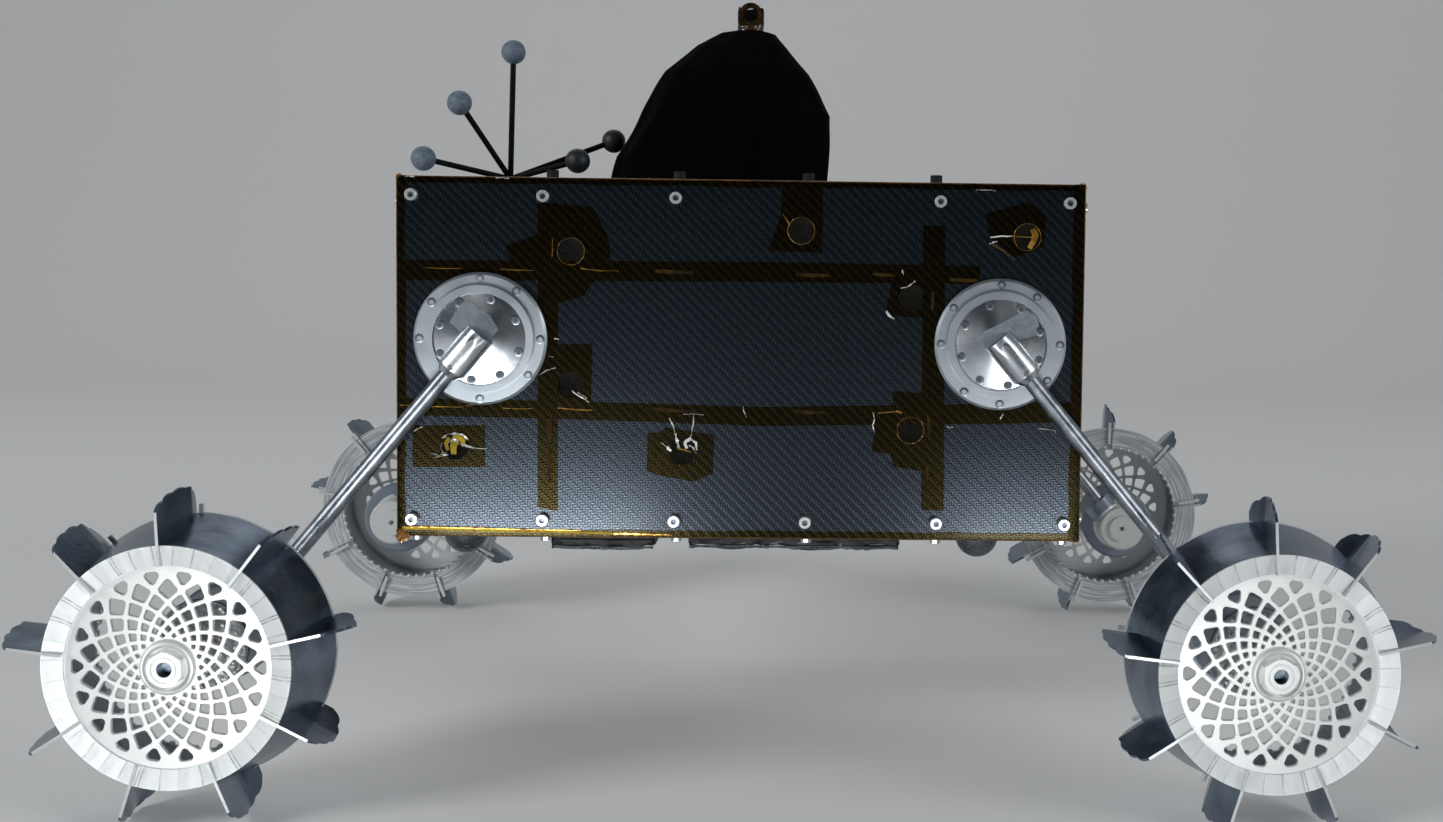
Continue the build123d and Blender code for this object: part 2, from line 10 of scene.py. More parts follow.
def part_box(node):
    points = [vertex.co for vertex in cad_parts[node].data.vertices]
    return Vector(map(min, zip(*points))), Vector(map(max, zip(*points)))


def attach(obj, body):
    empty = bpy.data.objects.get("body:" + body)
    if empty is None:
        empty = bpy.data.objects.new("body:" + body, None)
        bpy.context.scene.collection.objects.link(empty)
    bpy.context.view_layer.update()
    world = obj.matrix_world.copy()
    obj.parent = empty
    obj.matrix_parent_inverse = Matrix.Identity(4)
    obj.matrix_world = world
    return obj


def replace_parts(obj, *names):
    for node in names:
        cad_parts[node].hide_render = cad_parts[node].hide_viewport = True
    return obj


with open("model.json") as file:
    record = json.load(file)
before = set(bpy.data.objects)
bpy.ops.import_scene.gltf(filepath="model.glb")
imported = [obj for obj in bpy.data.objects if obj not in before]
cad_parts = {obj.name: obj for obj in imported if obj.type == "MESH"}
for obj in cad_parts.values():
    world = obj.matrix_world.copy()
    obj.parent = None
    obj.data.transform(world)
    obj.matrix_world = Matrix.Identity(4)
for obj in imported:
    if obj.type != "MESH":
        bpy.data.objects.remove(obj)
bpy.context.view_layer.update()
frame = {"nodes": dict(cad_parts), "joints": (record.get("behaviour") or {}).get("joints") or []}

# The noise vectors start from the clock unless they are given a seed
noise.seed_set(1)

# Lengths are written in millimetres and multiplied by MM, because the frame is in metres.
MM = 0.001
NODES = frame["nodes"]
CORNERS = ("front_left", "front_right", "rear_left", "rear_right")
JOINTS = {joint["name"]: joint for joint in frame["joints"]}

# Camera, as fitted to the photograph's panel corners, screws, shoulders and wheel circles
IMAGE_WIDTH = 1443
IMAGE_HEIGHT = 822
FOCAL_PIXELS = 1768.7
PRINCIPAL_POINT = (866.6, 354.1)
CAMERA_AT = (-45.3 * MM, 1234.5 * MM, 313.1 * MM)
CAMERA_YAW = -0.0280
CAMERA_PITCH = 0.0610
CAMERA_ROLL = 0.0130

# Wheel, in its own frame: Z outboard along the axle from the rim's inner edge, Y up
RIM_RADIUS = 65.0
RIM_FLARE = 9.5
WHEEL_WIDTH = 56.0
WHEEL_FROM_PANEL = 79.0
PLATE_FRONT = WHEEL_WIDTH - 4.0
PLATE_THICKNESS = 3.0
PLATE_RADIUS = 60.0
LATTICE_ARMS = 18
LATTICE_OUTER = 49.3
LATTICE_RATIO = 1.195
LATTICE_STRUT = 2.15
LATTICE_ROWS = 6
LATTICE_RING = 53.0
LATTICE_FILLETS = (1.6, 1.1, 0.9, 0.7, 0.5, 0.35)
TRIANGLE = ((51.0, -5.5), (51.0, 5.5), (42.8, 0.0))
TRIANGLE_FILLET = 1.9
PLATE_CHAMFER = 0.3
HUB_RADIUS = 14.4
AXLE_BORE = 3.9
SHAFT_RADIUS = 6.0
HUB_LENGTH = 16.0
AXLE_RADIUS = 6.05
INNER_EDGE = 57.5
INNER_DISH = 2.0
BEADS = 54
BEAD_RADIUS = 1.9
BLADES = 9
BLADE_FIRST_ANGLE = 10.0
BLADE_TAB = ((61.0, -1.3, -1.5), (79.0, 1.3, 0.2))
WALL = 0.8
# Wheel's nut: depth of its seat and height above the rim's outer face, half its width, its chamfer's radius
NUT_SEAT = 2.0
NUT_HEIGHT = 3.0
NUT_FLAT = 9.0
NUT_CHAMFER = 9.25
# Wheel drive's outboard end: height in the wheel's frame, and the foil over it from its bore to its edge
DRIVE_END = 2.0
FOIL_BORE = 8.0
FOIL_RADIUS = 25.6

# Screws of a shoulder: on the flange by the panel's directions, on the cap from the leg's direction
FLANGE_SCREW_RADIUS = 35.7
FLANGE_SCREW_ANGLES = (0, 53, 90, 143, 180, 233, 270, 323)
FLANGE_SCREW_HEIGHT = 5.0
CAP_SCREW_RADIUS = 24.5
CAP_SCREW_ANGLES = (29, 70, 112, 157, -157, -112, -70, -29)
# Turned face of a shoulder's cap: height at its edge and at its apex, and their radii
CAP_EDGE = 7.0
CAP_APEX = 11.5
CAP_RADIUS = 27.2
CAP_APEX_RADIUS = 8.0
# Set screw in a leg's socket: down the leg and outward from the shoulder
SET_SCREW_AT = (20.5, 26.9)
# Blank tape pieces on two caps: outlines to the viewer's right of the shoulder's axis and above it
LABELS = {
    "front_left": [
        (-17.0, 9.8), (-3.5, -1.5), (6.5, -2.0), (12.0, 6.0), (7.0, 14.0), (-4.0, 21.5), (-9.8, 22.5)
    ],
    "rear_left": [(-20.0, 3.0), (-10.0, -1.5), (3.0, 1.0), (23.3, 6.8), (21.6, 16.7), (15.0, 21.3)],
}

# Body, and the heights that follow from the frame
PANEL_FACE = 175.0
BODY_HALF = 205.0
SHOULDER_Z = JOINTS["shoulder_front_left"]["pos_m"][2] / MM
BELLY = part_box("side_panel_left")[0][2] / MM
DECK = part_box("side_panel_left")[1][2] / MM
MAST_X = 3.0
MAST_RADIUS = 8.0

# Screws on the side panels: columns to the viewer's right of the middle, rows above the shoulder line
SCREW_COLUMNS = (-196.0, -118.3, -39.7, 39.0, 118.0, 195.5)
SCREW_ROWS = (85.0, -108.7)
MISSING_SCREW = (39.0, 85.0)
STUB_COLUMNS = (-115.0, -38.8, 39.0, 116.3)
# The other screws: places across the body, and the rows on the end plates above the shoulder line
END_SCREWS_ACROSS = (-163.0, -81.5, 0.0, 81.5, 163.0)
END_SCREW_ROWS = (82.5, -106.5)
BELLY_SCREWS_ACROSS = (-167.0, 167.0)
STUBS_FROM_MIDDLE = 160.0
# Socket heads: width, height, and width of the key
SIDE_HEAD = (7.2, 4.6, 3.4)
END_HEAD = (6.4, 3.0, 3.2)
BELLY_HEAD = (6.4, 3.4, 3.2)
STUB_HEAD = (7.2, 5.2, 3.4)

# Round holes in a side panel: to the viewer's right of the middle, above the shoulder line
HOLE_RADIUS = 8.2
HOLES = [
    (-102.0, 52.5),
    (-102.0, -27.0),
    (-170.5, -64.5),
    (-35.0, -66.5),
    (35.0, 66.5),
    (170.5, 64.5),
    (102.0, 27.0),
    (102.0, -52.5),
]

# Holes whose edge shows through the film as a ring, raised and painted bright gold as painted glint
RIMMED_HOLES = (0, 4, 5, 7)

# Film tape on a side panel: height above the face, then the outline's points, right of the middle and up
FILM_THICKNESS = 0.1
FILM_TAPES = [
    (0.14, [(-204, 34.2), (10.6, 35.7), (142.4, 36.1), (142.2, 46.9), (10.5, 47.6), (-204, 46.1)]),
    (0.14, [(-204, -46.4), (-108, -47.8), (11, -50.8), (156, -48.1), (204, -46.4), (204, -34.3),
            (156, -36.0), (11, -39.3), (-108, -37.0), (-204, -36.2)]),
    (0.26, [(-121.4, -101.0), (-109.4, -103.3), (-109.8, 81.1), (-121.7, 80.9)]),
    (0.26, [(109.1, -100.8), (122.8, -101.3), (121.0, 70.5), (107.9, 70.4)]),
    (0.38, [(-141.0, 55.1), (-119.9, 62.9), (-117.7, 80.4), (-89.7, 79.2), (-80.6, 62.7), (-78.3, 50.6),
            (-94.1, 26.1), (-109.2, 21.3), (-110.8, 36.5), (-133.0, 38.0)]),
    (0.38, [(-109.2, -37.5), (-89.6, -37.4), (-89.4, -2.5), (-109.2, -3.2)]),
    (0.20, [(-195.9, -77.6), (-152.8, -77.2), (-152.8, -52.2), (-195.9, -52.6)]),
    (0.32, [(-56.3, -78.6), (-47.9, -81.6), (-28.0, -84.8), (-16.6, -79.8), (-16.0, -56.6),
            (-45.8, -52.3), (-48.1, -55.4), (-55.7, -55.5)]),
    (0.26, [(15.3, 54.4), (47.6, 53.3), (47.6, 92.0), (23.3, 93.2), (22.7, 75.0)]),
    (0.20, [(148.8, 63.0), (163.6, 52.5), (180.3, 58.8), (181.5, 77.1), (170.6, 85.3), (144.7, 78.1)]),
    (0.44, [(86.7, 20.9), (90.6, 16.4), (112.0, 15.1), (115.0, 24.3), (111.6, 42.6), (90.2, 39.3)]),
    (0.38, [(78.6, -65.5), (90.2, -66.9), (91.8, -74.7), (107.3, -76.8), (116.5, -79.1), (115.1, -38.9),
            (115.8, -30.4), (91.2, -29.1), (91.3, -37.6), (79.8, -39.3), (80.8, -53.1)]),
]

# Threads, creases and bars of film: width, height above the face and the line's places in the photograph
TORN_THREADS = [
    # The first three are white strips on the deck's edge: painted highlights where the edge tape glints, not
    # threads
    (0.9, 0.9, [(405, 177.6), (410, 177.4), (414, 177.8)]),
    (0.9, 0.9, [(495, 178.2), (501, 178.0), (508, 178.4)]),
    (0.5, 0.9, [(975, 184.6), (985, 184.6), (995, 185.0)]),
    (1.6, 1.2, [(447, 445), (453, 441), (459, 446), (472, 450), (485, 451)]),
    (1.5, 1.0, [(430, 456), (438, 458), (446, 455)]),
    (1.2, 0.9, [(433, 460), (440, 459), (447, 457)]),
    (1.3, 0.8, [(441, 441), (446, 437), (454, 435.5), (462, 437), (467, 442)]),
    (1.0, 0.8, [(441, 445), (440, 451), (443, 457)]),
    (0.8, 0.6, [(413, 434), (417, 431), (421, 429.5)]),
    (1.0, 1.2, [(669, 418.4), (672.5, 425), (675, 434)]),
    (2.2, 1.4, [(675, 434), (677, 441), (678.5, 448)]),
    (0.7, 1.0, [(693.6, 413.7), (693, 425), (690.5, 439)]),
    (2.2, 1.0, [(660.5, 443), (666, 447), (671, 452)]),
    (2.0, 1.3, [(687, 449), (685, 443), (690, 439), (696, 443), (697, 451)]),
    (1.4, 1.5, [(689, 446), (693, 448), (696, 454)]),
    (0.5, 0.5, [(683, 414.5), (693, 414), (703.5, 414.8)]),
    (0.9, 0.9, [(571, 391.6), (577, 396), (582, 398.5), (588.5, 403.3)]),
    (0.6, 0.9, [(577, 393), (582, 396), (586, 399)]),
    (0.7, 0.6, [(538, 375.8), (546, 371), (554.4, 368.5)]),
    (0.9, 0.6, [(553.5, 338.7), (558, 339.6)]),
    (0.7, 0.6, [(548, 357), (552, 357.6)]),
    (0.8, 0.7, [(743.2, 405.8), (744, 411), (746.4, 416.9)]),
    (0.9, 0.7, [(1003.7, 417), (1005, 414), (1006.5, 411.5)]),
    (0.7, 0.7, [(902.4, 266), (903.2, 271.5)]),
    (1.0, 1.2, [(900.8, 284.5), (908.5, 282.5), (912, 280), (915.4, 277)]),
    (1.6, 1.2, [(886.4, 307.5), (889, 312), (894.7, 315.7)]),
    (0.9, 1.0, [(990, 232.3), (1001, 230.8), (1013.5, 230.9)]),
    (1.2, 0.9, [(990, 238.6), (994, 237), (998, 236)]),
    (0.8, 0.9, [(874.5, 410.5), (876, 418), (874.5, 424), (876, 431)]),
    (0.6, 0.5, [(1043, 426), (1052, 427), (1060, 428), (1060.6, 431)]),
    (0.6, 0.5, [(950, 424), (951.5, 426), (956, 425.4)]),
]
# Bright yellow strips at a hole and along the lower edge: painted highlights
GOLD_PAINTED_HIGHLIGHTS = [
    (4.6, 0.3, [(455.5, 436.5), (454.5, 443), (452.5, 449), (452.5, 457)]),
    (3.2, 0.3, [(458, 438), (462, 443), (462.5, 449)]),
    (2.6, 0.2, [(447.5, 440), (445, 446), (446.5, 453)]),
    (1.5, 0.7, [(400.5, 532.6), (440, 533.2), (500, 534.3), (560, 535.4), (612, 536.6)]),
]
# Creases, raised a little and painted a brighter gold: partly real folds, partly painted glint
GOLD_CREASES = [
    (4.0, 0.1, [(1033, 223), (1036, 229), (1034, 236), (1030, 243)]),
    (1.0, 0.6, [(612, 536.6), (640, 537.2), (672, 537.9)]),
    (0.7, 0.8, [(401, 531.0), (460, 531.9), (520, 532.9), (580, 533.9)]),
    (0.5, 0.5, [(424.2, 268.6), (442, 269.4), (460, 269.2)]),
    (0.6, 0.5, [(498.8, 269.3), (515, 270.2), (532, 270.4)]),
    (1.3, 0.5, [(578.9, 267.4), (584, 268.6)]),
    (0.6, 0.5, [(584, 268.6), (600, 270), (617.6, 270)]),
    (0.5, 0.5, [(551, 238), (551.4, 248), (550.8, 256)]),
    (0.6, 0.5, [(399, 407.4), (430, 408.6), (462, 409)]),
    (0.5, 0.5, [(501.6, 409.6), (516, 410.2), (531.6, 409.9)]),
    (0.8, 0.5, [(557, 409), (575, 410.6), (591.6, 411.2)]),
    (0.6, 0.5, [(465, 408), (480, 404), (500, 399)]),
    (0.6, 0.5, [(1013.5, 230.9), (1025, 231.4), (1036, 232)]),
    (0.6, 0.5, [(991, 238.5), (1003, 245), (1016, 255)]),
    (0.6, 0.5, [(781.4, 211), (785, 216), (788.3, 222.4)]),
    (0.7, 0.8, [(678, 449.5), (684, 450.6), (691, 452.8)]),
    (1.3, 0.5, [(898, 409.4), (904, 411.4)]),
    (0.5, 0.5, [(879, 411.6), (890, 410.6), (899, 410)]),
]
FILM_BARS = [
    (2.6, 0.5, [(653.5, 269.6), (672, 270.6), (692, 270.7)]),
    (2.6, 0.5, [(795.2, 271.5), (812, 272.4), (829.8, 272.4)]),
    (2.2, 0.5, [(872.6, 270.2), (883, 271.4), (894.7, 271.5)]),
    (2.4, 0.5, [(950, 275), (965, 276), (979, 276)]),
    (2.2, 0.5, [(933, 288), (933.4, 298), (933, 307)]),
    (2.4, 0.5, [(645, 408.4), (670, 410.4), (695.9, 412.2)]),
    (2.6, 0.5, [(793.7, 410.5), (810, 411.6), (825.3, 411.2)]),
    (2.0, 0.6, [(931, 415), (931.6, 426), (931, 436)]),
    (1.8, 0.5, [(930, 466), (930.4, 477), (930, 488)]),
    (2.2, 0.5, [(547.4, 444), (548.4, 462), (548.6, 485)]),
    (3.0, 0.5, [(548.5, 420), (548.8, 432), (548.4, 442)]),
]

# Film folded over the body's edges: height above the faces, radius of the fold, reach onto ends and flats
TAPE_LIFT = 0.28
TAPE_BEND = 0.8
TAPE_REACH = 6.0

# Tracking stand: rod and ball radii, and how far forward a ball stands to be left out of the painted shade
MARKER_ROD = 1.95
MARKER_BALL = 8.3
SHADED_BEHIND = 140.0

# Hood: height above the deck, foremost and rearmost point along the middle, half width
HOOD_ROWS = [
    (0.6, 98.0, -50.0, 65.0),
    (20.0, 94.0, -51.0, 63.0),
    (50.0, 78.5, -53.0, 58.5),
    (79.0, 61.0, -38.0, 47.0),
    (97.0, 41.0, -24.0, 31.0),
    (106.0, 25.0, -15.5, 19.0),
    (108.5, 12.5, -6.5, 9.5),
]


def linear(code):
    """An sRGB hex colour as linear red, green, blue, alpha."""
    parts = [int(code[i : i + 2], 16) / 255 for i in (1, 3, 5)]
    return [c / 12.92 if c <= 0.04045 else ((c + 0.055) / 1.055) ** 2.4 for c in parts] + [1.0]


def add_node(tree, kind, inputs=None, **settings):
    """Add one node to a tree, with its settings, and set or link its inputs."""
    made = tree.nodes.new(kind)
    for name, value in settings.items():
        setattr(made, name, value)
    for name, value in (inputs or {}).items():
        if isinstance(value, bpy.types.NodeSocket):
            tree.links.new(value, made.inputs[name])
        else:
            made.inputs[name].default_value = value
    return made


# Materials


def new_material(name):
    """An empty node material with its principled shader and its object coordinates."""
    material = bpy.data.materials.new(name)
    material.use_nodes = True
    tree = material.node_tree
    shader = tree.nodes["Principled BSDF"]
    place = add_node(tree, "ShaderNodeTexCoord").outputs["Object"]
    return material, tree, shader, place


def set_surface(shader, **values):
    """Set or link the shader's own sockets, with underscores for the spaces in their names."""
    for name, value in values.items():
        socket = shader.inputs[name.replace("_", " ")]
        if isinstance(value, bpy.types.NodeSocket):
            shader.id_data.links.new(value, socket)
        else:
            socket.default_value = value


def axes_of(tree, vector):
    """The X, Y and Z of a vector."""
    return add_node(tree, "ShaderNodeSeparateXYZ", {"Vector": vector}).outputs


def blend_of(tree, factor, first, second):
    """One number that goes from the first to the second with a factor."""
    return add_node(tree, "ShaderNodeMix", {"Factor": factor, "A": first, "B": second}).outputs[0]


def mix_of(tree, factor, first, second):
    """One colour that goes from the first to the second with a factor."""
    inputs = {"Factor": factor, 6: first, 7: second}
    return add_node(tree, "ShaderNodeMix", inputs, data_type="RGBA").outputs[2]


def chance_of(tree, number):
    """A random share from 0 to 1 for each number."""
    return add_node(tree, "ShaderNodeTexWhiteNoise", {"W": number}, noise_dimensions="1D").outputs["Value"]


def from_axle(tree, place, centre):
    """Forward and up from the nearest of four axles across the body, and the distance from it."""
    parts = axes_of(tree, place)
    x = value_of(tree, "SUBTRACT", value_of(tree, "ABSOLUTE", parts["X"]), centre[0])
    z = value_of(tree, "SUBTRACT", parts["Z"], centre[2])
    radius = value_of(tree, "SQRT", value_of(tree, "MULTIPLY_ADD", x, x, value_of(tree, "MULTIPLY", z, z)))
    return x, z, radius


def bump_of(tree, height, distance, strength=1.0, under=None):
    """A bump of a height field, over another bump where one is given."""
    made = add_node(tree, "ShaderNodeBump", {"Height": height, "Distance": distance, "Strength": strength})
    if under is not None:
        tree.links.new(under, made.inputs["Normal"])
    return made.outputs["Normal"]


def value_of(tree, operation, *values):
    """One arithmetic step on sockets or numbers."""
    made = add_node(tree, "ShaderNodeMath", dict(enumerate(values)), operation=operation)
    return made.outputs[0]


def colours_of(tree, share, *stops):
    """A colour ramp over a share from 0 to 1; each stop is a position and a hex colour."""
    ramp = add_node(tree, "ShaderNodeValToRGB", {"Fac": share})
    points = ramp.color_ramp.elements
    while len(points) < len(stops):
        points.new(0.5)
    for point, (position, code) in zip(points, stops):
        point.position = position
        point.color = linear(code)
    return ramp.outputs["Color"]


def noise_of(tree, place, size, detail=3.0, roughness=0.5, stretch=(1, 1, 1), distortion=0.0):
    """Noise whose grains are about size metres across, longer where stretch is above 1."""
    scale = [1 / (size * s) for s in stretch]
    mapped = add_node(tree, "ShaderNodeMapping", {"Vector": place, "Scale": scale})
    made = add_node(
        tree,
        "ShaderNodeTexNoise",
        {
            "Vector": mapped.outputs[0],
            "Scale": 1.0,
            "Detail": detail,
            "Roughness": roughness,
            "Distortion": distortion,
        },
    )
    return made.outputs["Fac"]


def carbon_twill(name, along, up, under_film=False):
    """Clear-coated 2x2 twill of 3k carbon: dark satin tows in diagonal steps under a thin glossy resin.

    The tows are 1.5 mm wide, so the diagonals repeat every 6 mm, as they do on the photographed plate, and
    each float over two tows glints in its middle and is dark at its ends, by its specular level and bump and
    also by painted highlight in its colour; warp floats are painted lighter than weft, painted sheen. Under
    polyimide film the same weave shows through amber.
    """
    tow = 1.5 * MM
    material, tree, shader, place = new_material(name)
    parts = axes_of(tree, place)
    u = value_of(tree, "DIVIDE", parts[along], tow)
    v = value_of(tree, "DIVIDE", parts[up], tow)
    column = value_of(tree, "FLOOR", u)
    row = value_of(tree, "FLOOR", v)
    phase = value_of(tree, "FLOORED_MODULO", value_of(tree, "SUBTRACT", column, row), 4.0)
    warp = value_of(tree, "LESS_THAN", phase, 1.5)
    across_u = value_of(tree, "SUBTRACT", value_of(tree, "FRACT", u), 0.5)
    across_v = value_of(tree, "SUBTRACT", value_of(tree, "FRACT", v), 0.5)
    across = blend_of(tree, warp, across_v, across_u)
    crown = value_of(tree, "SUBTRACT", 0.25, value_of(tree, "MULTIPLY", across, across))
    run_u = value_of(tree, "FLOORED_MODULO", value_of(tree, "SUBTRACT", u, row), 4.0)
    run_v = value_of(tree, "FLOORED_MODULO", value_of(tree, "SUBTRACT", v, column), 4.0)
    run_v = value_of(tree, "FLOORED_MODULO", value_of(tree, "ADD", run_v, 1.0), 4.0)
    run_u = value_of(tree, "SUBTRACT", run_u, 2.0)
    run = value_of(tree, "SUBTRACT", blend_of(tree, warp, run_u, run_v), 1.0)
    middle = value_of(tree, "SUBTRACT", 1.0, value_of(tree, "MULTIPLY", run, run))
    grain = value_of(tree, "MULTIPLY", crown, value_of(tree, "MULTIPLY_ADD", middle, 2.9, 1.1))
    fibre = noise_of(tree, place, 0.25 * MM, detail=2.0)
    lot = noise_of(tree, place, 60 * MM, detail=2.0)
    # Base colour: warp floats painted lighter than weft, painted sheen, and each float painted lighter along
    # its crown and middle, painted highlight; fibre and lot add random tone
    shade = value_of(tree, "MULTIPLY_ADD", warp, 0.32, value_of(tree, "MULTIPLY", grain, 0.55))
    shade = value_of(tree, "MULTIPLY_ADD", fibre, 0.12, shade)
    shade = value_of(tree, "MULTIPLY_ADD", lot, 0.10, shade)
    if under_film:
        stops = ((0.15, "#020202"), (0.6, "#090806"), (1.0, "#1a160e"))
        wrinkle = noise_of(tree, place, 16 * MM, detail=4.0, roughness=0.6, distortion=0.6)
        ridge = value_of(tree, "ABSOLUTE", value_of(tree, "SUBTRACT", wrinkle, 0.5))
        coat = bump_of(tree, ridge, 0.6 * MM, 0.3)
        set_surface(shader, Coat_Weight=1.0, Coat_IOR=1.1, Coat_Roughness=0.12, Coat_Tint=linear("#d9b063"))
    else:
        stops = ((0.15, "#010303"), (0.6, "#050a0d"), (1.0, "#101a20"))
        coat = bump_of(tree, noise_of(tree, place, 9 * MM, detail=2.0), 0.05 * MM, 0.5)
        set_surface(shader, Coat_Weight=0.4, Coat_Roughness=0.2)
    set_surface(
        shader,
        Base_Color=colours_of(tree, shade, *stops),
        Roughness=value_of(tree, "MULTIPLY_ADD", warp, 0.08, 0.2),
        Specular_IOR_Level=value_of(tree, "MULTIPLY_ADD", warp, 0.12, grain),
        Specular_Tint=linear("#bcd4ef"),
        Normal=bump_of(tree, crown, 0.24 * MM, 0.6),
        Coat_Normal=coat,
    )
    return material


def amber_film(name, light, dark, metallic, roughness=0.2, coat=0.5):
    """Polyimide film tape folded over itself: glossy gold-brown, lit through, with sharp small wrinkles."""
    material, tree, shader, place = new_material(name)
    wrinkle = noise_of(tree, place, 9 * MM, detail=4.0, roughness=0.6, distortion=0.6)
    fine = noise_of(tree, place, 1.6 * MM, detail=3.0)
    ridge = value_of(tree, "ABSOLUTE", value_of(tree, "SUBTRACT", wrinkle, 0.5))
    set_surface(
        shader,
        Base_Color=colours_of(tree, wrinkle, (0.32, dark), (0.68, light)),
        Normal=bump_of(tree, fine, 0.12 * MM, 0.5, bump_of(tree, ridge, 0.9 * MM, 0.5)),
        Roughness=roughness,
        Metallic=metallic,
        Specular_IOR_Level=0.05 + 1.3 * coat,
        Coat_Weight=coat,
        Coat_Roughness=0.1,
    )
    return material


def wheel_metal(name, centre):
    """Aluminium sheet of a wheel: barrel and blades buffed blue-grey, the folded rings blasted nearly white.

    The rings and the blades' front and rear edges are found by their distance from the axle and along it.
    Every ten degrees a shallow crease crosses the outer ring, where its sheet was folded round; the creases
    are painted darker, with patches of painted shade and reflection, and each panel between them is painted
    a shade lighter or darker, as panels that lie differently to the light would look. The barrel's inside is
    painted pale, painted light, and the inner ring carries concentric arcs of painted reflection.
    """
    inner = PANEL_FACE + WHEEL_FROM_PANEL
    outer = inner + WHEEL_WIDTH
    panels = 36
    material, tree, shader, place = new_material(name)
    x, z, radius = from_axle(tree, place, centre)
    depth = value_of(tree, "ABSOLUTE", axes_of(tree, place)["Y"])

    # Masks: the outer ring, the inner ring, both with the blades' edges, and the barrel's inside
    face = value_of(
        tree,
        "MULTIPLY",
        value_of(tree, "GREATER_THAN", depth, (outer - 2.8) * MM),
        value_of(tree, "LESS_THAN", radius, (RIM_RADIUS + 0.15) * MM),
    )
    back = value_of(
        tree,
        "MULTIPLY",
        value_of(tree, "LESS_THAN", depth, (inner + INNER_DISH + 0.2) * MM),
        value_of(tree, "LESS_THAN", radius, (RIM_RADIUS + RIM_FLARE + 0.1) * MM),
    )
    front_edge = value_of(tree, "GREATER_THAN", depth, (outer + 1.3) * MM)
    back_edge = value_of(tree, "LESS_THAN", depth, (inner - 1.3) * MM)
    rings = value_of(tree, "MAXIMUM", face, back)
    white = value_of(tree, "MAXIMUM", rings, value_of(tree, "MAXIMUM", front_edge, back_edge))
    share = value_of(tree, "SUBTRACT", depth, inner * MM)
    widest = (RIM_RADIUS + RIM_FLARE - 0.5) * MM
    wall = value_of(tree, "MULTIPLY_ADD", share, -RIM_FLARE / WHEEL_WIDTH, widest)
    hollow = value_of(tree, "LESS_THAN", radius, wall)

    # Creases between the outer ring's panels, some of them doubled, drawn as lines of painted shade
    wobble = noise_of(tree, place, 16 * MM, detail=0.0)
    turn = value_of(tree, "ARCTAN2", z, x)
    turn = value_of(tree, "MULTIPLY_ADD", turn, panels / math.tau, value_of(tree, "MULTIPLY", wobble, 0.3))
    panel = chance_of(tree, value_of(tree, "ROUND", turn))
    chance = chance_of(tree, value_of(tree, "FLOOR", turn))
    single = value_of(tree, "FRACT", turn)
    near = value_of(tree, "ABSOLUTE", value_of(tree, "SUBTRACT", single, 0.5))
    twin = value_of(tree, "ABSOLUTE", value_of(tree, "SUBTRACT", single, 0.66))
    lines = []
    faint = value_of(tree, "MULTIPLY_ADD", chance, 0.7, 0.25)
    for gap, strength in ((near, faint), (twin, value_of(tree, "GREATER_THAN", chance, 0.74))):
        line = value_of(tree, "MINIMUM", value_of(tree, "MULTIPLY", gap, 16), 1.0)
        lines.append(value_of(tree, "MULTIPLY", value_of(tree, "SUBTRACT", 1.0, line), strength))
    crease = value_of(tree, "MULTIPLY", value_of(tree, "MAXIMUM", *lines), face)

    # Tones of the four surfaces
    patch = noise_of(tree, place, 5 * MM, detail=3.0)
    # soil here is painted shade: darker along the creases, with patches of painted shade and reflection, and
    # each panel painted a shade lighter or darker as painted light
    soil = value_of(tree, "MULTIPLY", crease, value_of(tree, "MULTIPLY_ADD", patch, 2.2, -0.35))
    soil = value_of(tree, "MULTIPLY_ADD", panel, 0.14, soil)
    smear = noise_of(tree, place, 24 * MM, detail=4.0, distortion=0.4)
    buffed = colours_of(tree, smear, (0.3, "#4b5b6d"), (0.7, "#7b8a9a"))
    # The barrel's inside is painted pale: painted light where it lies in shade
    painted_light_inside = colours_of(tree, smear, (0.3, "#ced4da"), (0.7, "#eef1f3"))
    blasted = colours_of(tree, soil, (0.0, "#d9dedf"), (1.0, "#737c81"))
    # Concentric light and dark arcs on the inner ring: painted reflection
    spun = add_node(
        tree,
        "ShaderNodeCombineXYZ",
        {"X": value_of(tree, "DIVIDE", radius, 1.4 * MM), "Y": value_of(tree, "MULTIPLY", turn, 0.3)},
    )
    inputs = {"Vector": spun.outputs[0], "Scale": 1.0, "Detail": 2.0}
    arc_noise = add_node(tree, "ShaderNodeTexNoise", inputs).outputs["Fac"]
    painted_reflection_arcs = colours_of(tree, arc_noise, (0.38, "#f4f6f6"), (0.52, "#a9b3bc"), (0.64, "#eceff0"))
    tone = mix_of(tree, hollow, buffed, painted_light_inside)
    tone = mix_of(tree, white, tone, blasted)
    tone = mix_of(tree, back, tone, painted_reflection_arcs)

    rough = blend_of(tree, hollow, value_of(tree, "MULTIPLY_ADD", smear, 0.24, 0.12), 0.45)
    plain = value_of(tree, "MULTIPLY_ADD", hollow, -0.6, 0.8)
    metal = value_of(tree, "SUBTRACT", plain, value_of(tree, "MULTIPLY", white, 0.5))
    marks = noise_of(tree, place, 0.5 * MM, detail=2.0, stretch=(1, 30, 1))
    low = bump_of(tree, marks, 0.02 * MM, 0.4)
    low = bump_of(tree, value_of(tree, "MULTIPLY", near, face), 0.8 * MM, 0.14, low)
    set_surface(
        shader,
        Base_Color=tone,
        Roughness=blend_of(tree, white, rough, 0.42),
        Metallic=value_of(tree, "MAXIMUM", metal, 0.2),
        Normal=bump_of(tree, patch, 0.25 * MM, 0.5, low),
    )
    return material


